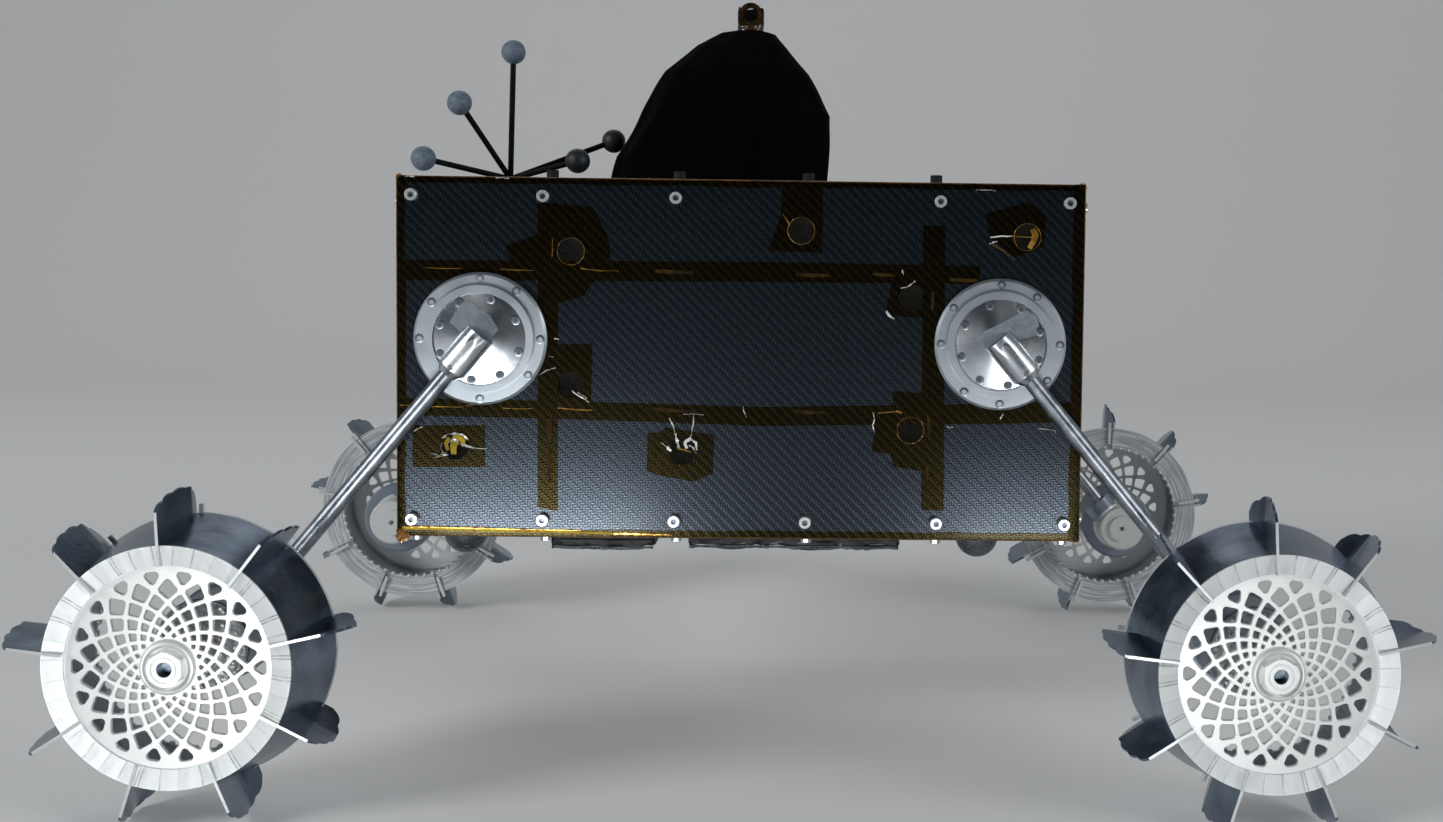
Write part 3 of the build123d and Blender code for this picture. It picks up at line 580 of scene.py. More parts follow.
def turned_aluminium(name, code, roughness, dust=0.35, grain=0.3, metallic=1.0):
    """Bare machined aluminium: fine tool marks, slightly mottled, with a breath of pale dust."""
    material, tree, shader, place = new_material(name)
    cloud = noise_of(tree, place, 18 * MM, detail=4.0)
    marks = noise_of(tree, place, grain * MM, detail=2.0, stretch=(1, 6, 1))
    cover = value_of(tree, "MULTIPLY", cloud, dust)
    set_surface(
        shader,
        Base_Color=mix_of(tree, cover, linear(code), linear("#dfe0dd")),
        Roughness=value_of(tree, "MULTIPLY_ADD", cloud, 0.16, roughness - 0.08),
        Normal=bump_of(tree, marks, 0.03 * MM, 0.5),
        Metallic=metallic,
    )
    return material


def drive_metal(name, centre):
    """Aluminium motor housing: a pale blasted end cap within a grey anodised shell."""
    material, tree, shader, place = new_material(name)
    _, _, radius = from_axle(tree, place, centre)
    cloud = noise_of(tree, place, 10 * MM, detail=3.0)
    share = value_of(tree, "MULTIPLY_ADD", cloud, 0.01, value_of(tree, "DIVIDE", radius, 40 * MM))
    tones = ((0.03, "#6d767d"), (0.05, "#e8ebea"), (0.49, "#e2e5e3"), (0.51, "#7d8895"), (1.0, "#8d98a4"))
    set_surface(
        shader,
        Base_Color=colours_of(tree, share, *tones),
        Roughness=value_of(tree, "MULTIPLY_ADD", cloud, 0.16, 0.36),
        Normal=bump_of(tree, noise_of(tree, place, 0.4 * MM), 0.03 * MM, 0.5),
        Metallic=0.25,
    )
    return material


def polished_disc(name, centre):
    """Aluminium turned to a near mirror: its concentric tool marks spread the light into fans."""
    material, tree, shader, place = new_material(name)
    x, z, radius = from_axle(tree, place, centre)
    rings = add_node(
        tree,
        "ShaderNodeTexNoise",
        {"W": value_of(tree, "DIVIDE", radius, 0.35 * MM), "Scale": 1.0, "Detail": 2.0},
        noise_dimensions="1D",
    ).outputs["Fac"]
    smear = noise_of(tree, place, 12 * MM, detail=3.0)
    end = value_of(tree, "SIGN", axes_of(tree, place)["X"])
    around = add_node(
        tree,
        "ShaderNodeCombineXYZ",
        {"X": value_of(tree, "MULTIPLY", z, -1.0), "Z": value_of(tree, "MULTIPLY", x, end)},
    )
    posed = add_node(
        tree,
        "ShaderNodeVectorTransform",
        {"Vector": around.outputs[0]},
        vector_type="VECTOR",
        convert_from="OBJECT",
        convert_to="WORLD",
    )
    set_surface(
        shader,
        Base_Color=colours_of(tree, smear, (0.3, "#a9b0b6"), (0.7, "#c3c9cd")),
        Roughness=value_of(tree, "MULTIPLY_ADD", smear, 0.12, 0.2),
        Normal=bump_of(tree, rings, 0.03 * MM, 0.4),
        Tangent=posed.outputs[0],
        Metallic=1.0,
        Anisotropic=0.8,
    )
    return material


def polished_steel(name, code, roughness=0.26):
    """Drawn and polished steel: darker than aluminium, with faint drawing lines and fingerprints."""
    material, tree, shader, place = new_material(name)
    smear = noise_of(tree, place, 9 * MM, detail=4.0)
    set_surface(
        shader,
        Base_Color=colours_of(tree, smear, (0.3, "#5f666d"), (0.75, code)),
        Roughness=value_of(tree, "MULTIPLY_ADD", smear, 0.16, roughness),
        Normal=bump_of(tree, noise_of(tree, place, 0.4 * MM), 0.01 * MM, 0.5),
        Metallic=1.0,
    )
    return material


def moulded_plastic(name, dark, light, roughness, dust, specks=0.0, level=0.5):
    """Moulded ABS: matt, with a fine spark-eroded grain, pale dust in patches and, if asked, pale specks."""
    material, tree, shader, place = new_material(name)
    grain = noise_of(tree, place, 0.6 * MM, detail=2.0)
    patches = noise_of(tree, place, 16 * MM, detail=5.0, roughness=0.65)
    cover = value_of(tree, "MULTIPLY", value_of(tree, "SUBTRACT", patches, 0.35), dust)
    if specks:
        dots = noise_of(tree, place, 1.3 * MM, detail=3.0, roughness=0.7)
        dots = value_of(tree, "MULTIPLY", value_of(tree, "GREATER_THAN", dots, 0.6), specks)
        cover = value_of(tree, "MAXIMUM", cover, dots)
    set_surface(
        shader,
        Base_Color=mix_of(tree, cover, linear(dark), linear(light)),
        Roughness=value_of(tree, "MULTIPLY_ADD", patches, 0.25, roughness),
        Normal=bump_of(tree, grain, 0.05 * MM, 0.6),
        Specular_IOR_Level=level,
        IOR=1.5,
    )
    return material


def crinkled_foil(name):
    """Bright silver foil, crushed by hand: small flat facets at many angles."""
    material, tree, shader, place = new_material(name)
    inputs = {"Vector": place, "Scale": 1 / (3.2 * MM)}
    facets = add_node(tree, "ShaderNodeTexVoronoi", inputs, feature="F2").outputs["Distance"]
    fine = noise_of(tree, place, 2.2 * MM, detail=3.0)
    set_surface(
        shader,
        Base_Color=colours_of(tree, fine, (0.35, "#b9c1c4"), (0.6, "#f1f3f2")),
        Normal=bump_of(tree, fine, 0.4 * MM, 0.5, bump_of(tree, facets, 1.6 * MM, 0.7)),
        Metallic=0.25,
        Roughness=0.35,
    )
    return material


def marker_cover(name):
    """Grey retro-reflective sheet over a ball, grained by tiny glass beads; the rear balls are painted dark,
    painted shade.
    """
    material, tree, shader, place = new_material(name)
    inputs = {"Vector": place, "Scale": 1 / (0.7 * MM)}
    beads = add_node(tree, "ShaderNodeTexVoronoi", inputs).outputs["Distance"]
    pale = colours_of(tree, beads, (0.0, "#9aabbc"), (0.8, "#48586a"))
    # A darker copy of the cover for the rear balls: painted shade
    shaded_tone = colours_of(tree, beads, (0.0, "#2b3238"), (0.8, "#14181b"))
    rear = value_of(tree, "LESS_THAN", axes_of(tree, place)["X"], SHADED_BEHIND * MM)
    set_surface(
        shader,
        Base_Color=mix_of(tree, rear, pale, shaded_tone),
        Normal=bump_of(tree, beads, 0.08 * MM, 0.7),
        Roughness=0.5,
        Sheen_Weight=0.15,
        Sheen_Roughness=0.4,
    )
    return material


def black_cloth(name):
    """Matt black woven cotton: a plain weave, drawn coarse enough to show, with a soft nap."""
    thread = 0.9 * MM
    threads_round = 420.0
    material, tree, shader, place = new_material(name)
    parts = axes_of(tree, place)
    turn = value_of(tree, "ARCTAN2", parts["Y"], parts["X"])
    around = value_of(tree, "SINE", value_of(tree, "MULTIPLY", turn, threads_round))
    upward = value_of(tree, "SINE", value_of(tree, "MULTIPLY", parts["Z"], math.tau / thread))
    weave = value_of(tree, "MULTIPLY", around, upward)
    nap = noise_of(tree, place, 7 * MM, detail=5.0, roughness=0.7)
    set_surface(
        shader,
        Base_Color=colours_of(tree, nap, (0.3, "#030304"), (0.7, "#070809")),
        Normal=bump_of(tree, weave, 0.1 * MM, 0.4, bump_of(tree, nap, 0.5 * MM, 0.35)),
        Roughness=0.95,
        Specular_IOR_Level=0.04,
    )
    return material


def cloth_tape(name):
    """Cloth tape, white in itself, painted an even blue-grey as painted shade and reflection; fine cross
    weave, and patches slightly greyer from handling.
    """
    material, tree, shader, place = new_material(name)
    soil = noise_of(tree, place, 5 * MM, detail=4.0)
    weave = noise_of(tree, place, 0.4 * MM, detail=1.0)
    # Both tones are painted blue-grey: painted shade and reflection on a white tape
    set_surface(
        shader,
        Base_Color=colours_of(tree, soil, (0.3, "#76828d"), (0.7, "#98a2aa")),
        Normal=bump_of(tree, weave, 0.05 * MM, 0.5),
        Roughness=0.6,
    )
    return material


SHOULDER_AT = JOINTS["shoulder_front_left"]["pos_m"]
AXLE_AT = JOINTS["wheel_spin_front_left"]["pos_m"]
CARBON_SIDE = carbon_twill("carbon_twill_side", "X", "Z")
CARBON_END = carbon_twill("carbon_twill_end", "Y", "Z")
CARBON_FLAT = carbon_twill("carbon_twill_flat", "X", "Y")
FILM_SIDE = carbon_twill("polyimide_film_side", "X", "Z", True)
FILM_END = carbon_twill("polyimide_film_end", "Y", "Z", True)
FILM_FLAT = carbon_twill("polyimide_film_flat", "X", "Y", True)
FILM_FOLD = amber_film("polyimide_film_fold", "#8f5f18", "#2a1a08", 0.45)
POST_FILM = amber_film("polyimide_film_post", "#55390f", "#120b05", 0.2, 0.3, coat=0.2)
WRAP_FILM = amber_film("polyimide_film_wrap", "#33260f", "#070503", 0.1, 0.22, coat=0.3)
# Glint film: a brighter gold than the film, painted glint for creases and hole rims
FILM_PAINTED_GLINT = amber_film("polyimide_film_painted_glint", "#d9a63c", "#7d5413", 0.6, 0.18)
# Bright yellow film without gloss: painted highlight
FILM_PAINTED_HIGHLIGHT = amber_film("polyimide_film_painted_highlight", "#ffe24c", "#cc9800", 0.0, 0.4, coat=0.0)
FILM_LUMP = amber_film("polyimide_film_bunched", "#cf8a22", "#5a3408", 0.2, 0.2)
# Film over the holes: its own dark amber with the hole's shade behind it painted in, painted shade
FILM_HOLE_SHADE = amber_film("polyimide_film_hollow", "#1e1c15", "#0e0f0e", 0.0, 0.5, coat=0.0)
FILM_BAR = amber_film("polyimide_film_bubble", "#4d3a14", "#1d1508", 0.0, 0.5, coat=0.0)
FILM_TORN = amber_film("torn_film_backing", "#ffffff", "#f1efe2", 0.0, 0.3)
ALUMINIUM = turned_aluminium("satin_aluminium", "#c9cccd", 0.36)
WHEEL_FACE = turned_aluminium("blasted_aluminium", "#e4e7e7", 0.5, dust=0.3, metallic=0.35)
DISC = polished_disc("turned_aluminium_disc", SHOULDER_AT)
WHEEL_SHEET = wheel_metal("aluminium_wheel_sheet", AXLE_AT)
DRIVE_METAL = drive_metal("aluminium_motor_housing", AXLE_AT)
FLANGE_METAL = turned_aluminium("satin_aluminium_flange", "#b4bec6", 0.34, dust=0.16, metallic=0.93)
STEEL = polished_steel("polished_steel_tube", "#989ea4")
SCREW_STEEL = turned_aluminium("zinc_plated_screw", "#eef1f3", 0.26, dust=0.1, metallic=0.6)
DARK_PLASTIC = moulded_plastic("black_moulded_abs", "#0c0e10", "#4a5258", 0.45, 0.8, specks=0.5)
STUB_PLASTIC = moulded_plastic("black_nylon_stub", "#08090a", "#16181a", 0.6, 0.3)
DUSTY_PLASTIC = moulded_plastic("dusty_grey_abs", "#3b4651", "#a9b3bb", 0.35, 1.6, specks=0.9)
FROSTED = moulded_plastic("frosted_polycarbonate", "#5d6871", "#e3e8ea", 0.3, 1.7, specks=0.9)
# Recess floors: painted shade, a darker metal for the bottoms of screw recesses and the wheel's bore
SCREW_RECESS_SHADE = turned_aluminium("painted_shade_screw_recess", "#5c6872", 0.35, dust=0.03)
DRIVE_FOIL = crinkled_foil("crumpled_silver_foil")
RODS = moulded_plastic("black_carbon_rod", "#030404", "#090b0c", 0.5, 0.3, level=0.15)
MARKERS = marker_cover("retroreflective_grey")
CLOTH = black_cloth("black_cotton_cloth")
LABEL = cloth_tape("white_cloth_tape")

# Geometry Nodes


def new_tree(name, sockets):
    """An empty geometry tree with a geometry output and the named inputs."""
    tree = bpy.data.node_groups.new(name, "GeometryNodeTree")
    tree.interface.new_socket("Geometry", in_out="INPUT", socket_type="NodeSocketGeometry")
    for label, kind in sockets:
        tree.interface.new_socket(label, in_out="INPUT", socket_type=kind)
    tree.interface.new_socket("Geometry", in_out="OUTPUT", socket_type="NodeSocketGeometry")
    start = add_node(tree, "NodeGroupInput")
    return tree, start


def end_tree(tree, instances, start):
    """Realize the instances, set the material and hand the geometry out."""
    real = add_node(tree, "GeometryNodeRealizeInstances", {"Geometry": instances})
    merged = add_node(
        tree,
        "GeometryNodeMergeByDistance",
        {"Geometry": real.outputs[0], "Distance": 0.002 * MM},
    )
    painted = add_node(
        tree,
        "GeometryNodeSetMaterial",
        {"Geometry": merged.outputs[0], "Material": start.outputs["Material"]},
    )
    add_node(tree, "NodeGroupOutput", {"Geometry": painted.outputs[0]})


def make_ring_tree():
    """Copies of a piece turned about Z: how many, and where the first one stands."""
    sockets = [
        ("Copies", "NodeSocketInt"),
        ("First Angle", "NodeSocketFloat"),
        ("Material", "NodeSocketMaterial"),
    ]
    tree, start = new_tree("ring_of_copies", sockets)
    points = add_node(tree, "GeometryNodePoints", {"Count": start.outputs["Copies"]})
    index = add_node(tree, "GeometryNodeInputIndex").outputs[0]
    step = add_node(tree, "ShaderNodeMath", {0: math.tau, 1: start.outputs["Copies"]}, operation="DIVIDE")
    angle = add_node(
        tree,
        "ShaderNodeMath",
        {0: index, 1: step.outputs[0], 2: start.outputs["First Angle"]},
        operation="MULTIPLY_ADD",
    )
    turn = add_node(tree, "ShaderNodeCombineXYZ", {"Z": angle.outputs[0]})
    copies = add_node(
        tree,
        "GeometryNodeInstanceOnPoints",
        {
            "Points": points.outputs[0],
            "Instance": start.outputs["Geometry"],
            "Rotation": turn.outputs[0],
        },
    )
    end_tree(tree, copies.outputs[0], start)
    return tree


def make_screw_tree():
    """Copies of a screw on the points of a mesh, its Z along the point's axis, each turned at random."""
    sockets = [
        ("Screw", "NodeSocketObject"),
        ("Seed", "NodeSocketInt"),
        ("Material", "NodeSocketMaterial"),
    ]
    tree, start = new_tree("screws_on_points", sockets)
    axis = add_node(tree, "GeometryNodeInputNamedAttribute", {"Name": "axis"}, data_type="FLOAT_VECTOR")
    aligned = add_node(
        tree,
        "FunctionNodeAlignRotationToVector",
        {"Vector": axis.outputs[0]},
        axis="Z",
    )
    spin = add_node(
        tree,
        "FunctionNodeRandomValue",
        {2: 0.0, 3: math.tau, "Seed": start.outputs["Seed"]},
        data_type="FLOAT",
    )
    twist = add_node(tree, "FunctionNodeAxisAngleToRotation", {"Axis": (0, 0, 1), "Angle": spin.outputs[1]})
    turned = add_node(
        tree,
        "FunctionNodeRotateRotation",
        {"Rotation": aligned.outputs[0], "Rotate By": twist.outputs[0]},
        rotation_space="LOCAL",
    )
    screw = add_node(tree, "GeometryNodeObjectInfo", {"Object": start.outputs["Screw"]})
    points = add_node(tree, "GeometryNodeMeshToPoints", {"Mesh": start.outputs["Geometry"]})
    copies = add_node(
        tree,
        "GeometryNodeInstanceOnPoints",
        {
            "Points": points.outputs[0],
            "Instance": screw.outputs["Geometry"],
            "Rotation": turned.outputs[0],
        },
    )
    end_tree(tree, copies.outputs[0], start)
    return tree


RING_TREE = make_ring_tree()
SCREW_TREE = make_screw_tree()


def grown_mesh(source, tree, inputs):
    """The plain mesh that a geometry tree makes of a source mesh."""
    helper = bpy.data.objects.new("helper", source)
    bpy.context.scene.collection.objects.link(helper)
    modifier = helper.modifiers.new("grow", "NODES")
    modifier.node_group = tree
    sockets = {item.name: item.identifier for item in tree.interface.items_tree if item.in_out == "INPUT"}
    for label, value in inputs.items():
        modifier[sockets[label]] = value
    graph = bpy.context.evaluated_depsgraph_get()
    mesh = bpy.data.meshes.new_from_object(helper.evaluated_get(graph), depsgraph=graph)
    bpy.data.objects.remove(helper)
    return mesh


# Mesh makers


def point(bm, x, y, z):
    """A vertex at a place in millimetres."""
    return bm.verts.new((x * MM, y * MM, z * MM))


def metres(x, y, z):
    """A place given in millimetres, in metres."""
    return Vector((x * MM, y * MM, z * MM))


def polar_point(bm, radius, angle, z):
    """A vertex at a distance from Z, an angle in radians and a height."""
    return bm.verts.new((radius * MM * math.cos(angle), radius * MM * math.sin(angle), z * MM))


def angles(count):
    """Equal steps once round, in radians."""
    return [math.tau * i / count for i in range(count)]


def circle(bm, radius, z, segments):
    """A row of vertices round Z."""
    return [polar_point(bm, radius, a, z) for a in angles(segments)]


def bridge(bm, rows, closed=True, ends=False):
    """Faces from each row of vertices to the next; a row of one vertex is a tip, and ends close a tube."""
    faces = []
    for low, high in zip(rows, rows[1:]):
        count = max(len(low), len(high))
        for i in range(count if closed and count > 1 else count - 1):
            j = (i + 1) % count
            if len(low) == 1:
                corners = (low[0], high[j], high[i])
            elif len(high) == 1:
                corners = (low[i], low[j], high[0])
            else:
                corners = (low[i], low[j], high[j], high[i])
            faces.append(bm.faces.new(corners))
    if ends:
        bm.faces.new(rows[0])
        bm.faces.new(rows[-1])
    return faces


def shade(mesh, degrees):
    """Smooth shading, except over edges sharper than an angle."""
    mesh.shade_smooth()
    mesh.set_sharp_from_angle(angle=math.radians(degrees))


def to_mesh(name, bm, smooth=35):
    """Turn a bmesh into a mesh with outward faces, smooth up to an angle in degrees."""
    bmesh.ops.remove_doubles(bm, verts=bm.verts, dist=0.001 * MM)
    bmesh.ops.recalc_face_normals(bm, faces=bm.faces)
    mesh = bpy.data.meshes.new(name)
    bm.to_mesh(mesh)
    bm.free()
    shade(mesh, smooth)
    return mesh


def turned(name, profile, segments=48, smooth=35):
    """A solid of revolution about Z from (radius, z) points, closed on the axis or on itself."""
    bm = bmesh.new()
    rings = []
    for radius, z in profile:
        rings.append(circle(bm, radius, z, segments) if radius > 1e-6 else [point(bm, 0, 0, z)])
    bridge(bm, rings + rings[:1])
    return to_mesh(name, bm, smooth)


def joined(name, parts, smooth=None):
    """One mesh of several (mesh, matrix) pairs, shaded anew where an angle is given."""
    bm = bmesh.new()
    for mesh, matrix in parts:
        piece = mesh.copy()
        piece.transform(matrix)
        bm.from_mesh(piece)
        bpy.data.meshes.remove(piece)
    made = bpy.data.meshes.new(name)
    bm.to_mesh(made)
    bm.free()
    if smooth is not None:
        shade(made, smooth)
    return made


def place(name, mesh, body, slot, material=None, matrix=None, bevel=0.0):
    """Make a finished object of a mesh, in the row's frame, riding on a body."""
    if matrix is not None:
        mesh.transform(matrix)
        if matrix.determinant() < 0:
            mesh.flip_normals()
    piece = bpy.data.objects.new(name, mesh)
    bpy.context.scene.collection.objects.link(piece)
    if material is not None:
        mesh.materials.clear()
        mesh.materials.append(material)
    if bevel:
        add_bevel(piece, bevel)
    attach(piece, body)
    return piece


def thicken(piece, thickness):
    """Give a sheet its thickness in millimetres, on its inner side."""
    shell = piece.modifiers.new("thickness", "SOLIDIFY")
    shell.thickness = thickness * MM
    shell.offset = -1


def add_bevel(piece, width, angle=35):
    """Round the sharp edges a little, so that they catch the light, and keep flat faces flat."""
    bevel = piece.modifiers.new("edges", "BEVEL")
    bevel.width = width * MM
    bevel.segments = 2
    bevel.limit_method = "ANGLE"
    bevel.angle_limit = math.radians(angle)
    bevel.use_clamp_overlap = True
    weighted = piece.modifiers.new("normals", "WEIGHTED_NORMAL")
    weighted.keep_sharp = True


def finish_node(node, material, bevel):
    """Give a CAD node its material, join its loose triangles and round its edges."""
    piece = NODES[node]
    piece.data.materials.clear()
    piece.data.materials.append(material)
    piece.data.shade_smooth()
    weld = piece.modifiers.new("weld", "WELD")
    weld.merge_threshold = 0.001 * MM
    add_bevel(piece, bevel)


def side_of(corner):
    """1 for the left side, which is +Y, and -1 for the right."""
    return 1 if corner.endswith("left") else -1


def wheel_frame(corner):
    """Matrix of a wheel's own frame: Z outboard from the rim's inner edge, Y up."""
    x, y, z = JOINTS[f"wheel_spin_{corner}"]["pos_m"]
    side = side_of(corner)
    return Matrix(((-side, 0, 0, x), (0, 0, side, y), (0, 1, 0, z), (0, 0, 0, 1)))


def shoulder_frame(corner):
    """Matrix of a shoulder's frame: Z outboard from the panel's face, X down along the leg."""
    at = Vector(JOINTS[f"shoulder_{corner}"]["pos_m"])
    axle = Vector(JOINTS[f"wheel_spin_{corner}"]["pos_m"])
    side = side_of(corner)
    along = axle - at
    along.y = 0
    along.normalize()
    outboard = Vector((0, side, 0))
    across = outboard.cross(along)
    matrix = Matrix((along, across, outboard)).transposed().to_4x4()
    matrix.translation = Vector((at.x, side * PANEL_FACE * MM, at.z))
    return matrix


# Wheel pieces


def crossing(step, turn):
    """Point where two spiral arms cross: circle number from the outside, angle in half pitches."""
    radius = LATTICE_OUTER / LATTICE_RATIO**step
    angle = turn * math.pi / LATTICE_ARMS
    return Vector((radius * math.cos(angle), radius * math.sin(angle)))


def rounded(corners, inset, fillet, steps=4):
    """An anticlockwise outline moved inward, with each corner an arc."""
    count = len(corners)
    normals = []
    for i in range(count):
        edge = (corners[(i + 1) % count] - corners[i]).normalized()
        normals.append(Vector((-edge.y, edge.x)))
    points = []
    for i in range(count):
        before, after = normals[i - 1], normals[i]
        bisector = (before + after).normalized()
        centre = corners[i] + bisector * ((inset + fillet) / bisector.dot(after))
        for k in range(steps + 1):
            direction = (before.lerp(after, k / steps)).normalized()
            points.append(centre - direction * fillet)
    return points


def add_cell(bm, border, opening=None, mouth=None):
    """One cell of the plate from its border to its opening, with chamfered mouths on both faces."""
    loops = [border] if mouth is None else [border, mouth]
    flat = [p for loop in loops for p in loop]
    triangles = tessellate_polygon([[p.to_3d() for p in loop] for loop in loops])
    for z, flip in ((0.0, False), (-PLATE_THICKNESS, True)):
        made = [point(bm, p.x, p.y, z) for p in flat]
        for triangle in triangles:
            face = bm.faces.new([made[i] for i in triangle])
            face.normal_update()
            if (face.normal.z < 0) != flip:
                face.normal_flip()
    if mouth is None:
        return
    levels = [
        (mouth, 0.0),
        (opening, -PLATE_CHAMFER),
        (opening, PLATE_CHAMFER - PLATE_THICKNESS),
        (mouth, -PLATE_THICKNESS),
    ]
    bridge(bm, [[point(bm, p.x, p.y, z) for p in loop] for loop, z in levels])


def polar(radius, degrees):
    """A flat point by its radius and angle."""
    return Vector((radius * math.cos(math.radians(degrees)), radius * math.sin(math.radians(degrees))))


def lattice_wedge():
    """One arm's share of the spiral lattice: cells round their openings, between the rim and the hub."""
    bm = bmesh.new()
    half = 180 / LATTICE_ARMS
    strut = LATTICE_STRUT / 2
    triangle = [Vector(p) for p in TRIANGLE]
    outer_cell = [
        polar(LATTICE_RING, -half),
        polar(LATTICE_RING, half),
        crossing(0, 1),
        crossing(1, 0),
        crossing(0, -1),
    ]
    opening = rounded(triangle, 0.0, TRIANGLE_FILLET)
    mouth = rounded(triangle, -PLATE_CHAMFER, TRIANGLE_FILLET + PLATE_CHAMFER)
    add_cell(bm, outer_cell, opening, mouth)
    for row in range(1, LATTICE_ROWS + 1):
        turn = row % 2
        border = [
            crossing(row - 1, turn),
            crossing(row, turn + 1),
            crossing(row + 1, turn),
            crossing(row, turn - 1),
        ]
        fillet = LATTICE_FILLETS[row - 1]
        opening = rounded(border, strut, fillet)
        mouth = rounded(border, strut - PLATE_CHAMFER, fillet + PLATE_CHAMFER)
        add_cell(bm, border, opening, mouth)
    arc = [polar(PLATE_RADIUS, a) for a in (half, half / 2, 0, -half / 2, -half)]
    add_cell(bm, [polar(LATTICE_RING, half), polar(LATTICE_RING, -half)] + arc[::-1])
    step, turn = LATTICE_ROWS, LATTICE_ROWS % 2
    middle = half * turn
    hub = [polar(HUB_RADIUS - 2.0, middle + a) for a in (half, 0, -half)]
    add_cell(bm, [crossing(step, turn - 1), crossing(step + 1, turn), crossing(step, turn + 1)] + hub)
    mesh = bpy.data.meshes.new("lattice_wedge")
    bm.to_mesh(mesh)
    bm.free()
    return mesh


def lattice_plate():
    """The whole spoke plate with its hub boss, in the wheel's frame."""
    plate = grown_mesh(
        lattice_wedge(),
        RING_TREE,
        {"Copies": LATTICE_ARMS, "First Angle": 0.0, "Material": WHEEL_FACE},
    )
    plate.shade_flat()
    # The hub's outline: radius, and depth behind the rim's outer face
    outline = [
        (AXLE_RADIUS, HUB_LENGTH),
        (HUB_RADIUS, HUB_LENGTH),
        (HUB_RADIUS, 1.4),
        (HUB_RADIUS - 0.5, 0.4),
        (HUB_RADIUS - 1.4, 0.0),
        (12.4, 0.2),
        (11.8, 1.1),
        (11.2, 1.8),
        (10.6, NUT_SEAT),
        (AXLE_RADIUS, NUT_SEAT),
    ]
    hub = turned("hub", [(radius, WHEEL_WIDTH - depth) for radius, depth in outline], segments=72)
    return joined("spokes", [(plate, Matrix.Translation((0, 0, PLATE_FRONT * MM))), (hub, Matrix())])


def axle_mesh(start):
    """The wheel's shaft with its chamfered nut, its bored end, and the bore's deep wall and bottom painted
    dark, painted shade.
    """
    seat, top = WHEEL_WIDTH - NUT_SEAT, WHEEL_WIDTH + NUT_HEIGHT
    segments = 72
    sixth = math.tau / 6
    bm = bmesh.new()
    nut = [[], [], []]
    for a in angles(segments):
        sector = (a + sixth / 2) % sixth - sixth / 2
        reach = NUT_FLAT / math.cos(sector)
        slope = max(0.0, (reach - NUT_CHAMFER) / 1.7)
        nut[0].append(polar_point(bm, reach, a, seat))
        nut[1].append(polar_point(bm, reach, a, top - slope - 0.02))
        nut[2].append(polar_point(bm, min(reach, NUT_CHAMFER), a, top))
    # The shaft's end within the nut, and its bore: radius, and depth below the nut's top
    outline = [(7.2, 0.0), (6.9, 0.5), (6.4, 0.5), (6.1, 0.0)]
    outline += [(AXLE_BORE + 0.3, 0.0), (AXLE_BORE, 0.3), (AXLE_BORE, 8.0)]
    end = [circle(bm, radius, top - depth, segments) for radius, depth in outline]
    shaft = [circle(bm, SHAFT_RADIUS, z, segments) for z in (start, seat)]
    faces = bridge(bm, shaft + nut + end)
    bm.faces.new(shaft[0])
    # The bore's deep wall and its bottom take the recess material: painted shade
    for face in [*faces[-segments:], bm.faces.new(end[-1])]:
        face.material_index = 1
    mesh = to_mesh("axle", bm, 30)
    mesh.materials.append(WHEEL_FACE)
    mesh.materials.append(SCREW_RECESS_SHADE)
    return mesh


def bead(radius):
    """A small ball, for the bumps along the inner edge of a wheel."""
    steps = 6
    profile = []
    for i in range(steps + 1):
        a = math.pi * i / steps - math.pi / 2
        profile.append((radius * math.cos(a) if 0 < i < steps else 0, radius * math.sin(a)))
    return turned("bead", profile, segments=10, smooth=180)


def socket_screw(head, height, key):
    """A socket-head screw's head with its hexagon recess and a chamfered crown."""
    segments, chamfer = 24, 0.35
    sixth = math.tau / 6
    bm = bmesh.new()
    outline = ((head / 2, 0), (head / 2, height - chamfer), (head / 2 - chamfer, height))
    rings = [circle(bm, radius, z, segments) for radius, z in outline]
    for z in (height, height * 0.35):
        ring = [polar_point(bm, key / 2 / math.cos(a % sixth - sixth / 2), a, z) for a in angles(segments)]
        rings.append(ring)
    bridge(bm, rings, ends=True)
    return to_mesh("socket_screw", bm, 30)


def socket_heads(name, spots, size, material, seed):
    """Place socket heads on the body, each with a darker disc at the bottom of its recess, painted shade."""
    heads = screws_on(spots, socket_screw(*size), material, seed)
    _, height, key = size
    low, high, wide = height * 0.36, height * 0.5, key * 0.56
    # A darker disc at the bottom of each recess: painted shade
    floor = turned("recess", [(0, low), (wide, low), (wide, high), (0, high)], segments=12)
    floors = screws_on(spots, floor, SCREW_RECESS_SHADE, seed)
    place(name, heads, "chassis", "machined_aluminium")
    place(f"{name}_recesses", floors, "chassis", "dark_plastic")


def flush_screw(radius, recess):
    """A countersunk screw's face: a shallow dish with a small round recess."""
    crown = [(0, -0.6), (radius, -0.6), (radius, 0.05), (radius - 0.25, 0.12)]
    dish = [(recess, 0.12), (recess * 0.8, -0.35), (0, -0.4)]
    return turned("flush_screw", crown + dish, segments=20, smooth=25)


def screws_on(spots, screw, material, seed):
    """One mesh of a screw's copies on spots: each is a place in metres and the way its head faces."""
    points = bpy.data.meshes.new("spots")
    points.from_pydata([at for at, _ in spots], [], [])
    axis = points.attributes.new("axis", "FLOAT_VECTOR", "POINT")
    axis.data.foreach_set("vector", [c for _, facing in spots for c in facing])
    holder = bpy.data.objects.new("screw", screw)
    bpy.context.scene.collection.objects.link(holder)
    mesh = grown_mesh(points, SCREW_TREE, {"Screw": holder, "Seed": seed, "Material": material})
    bpy.data.objects.remove(holder)
    shade(mesh, 30)
    return mesh


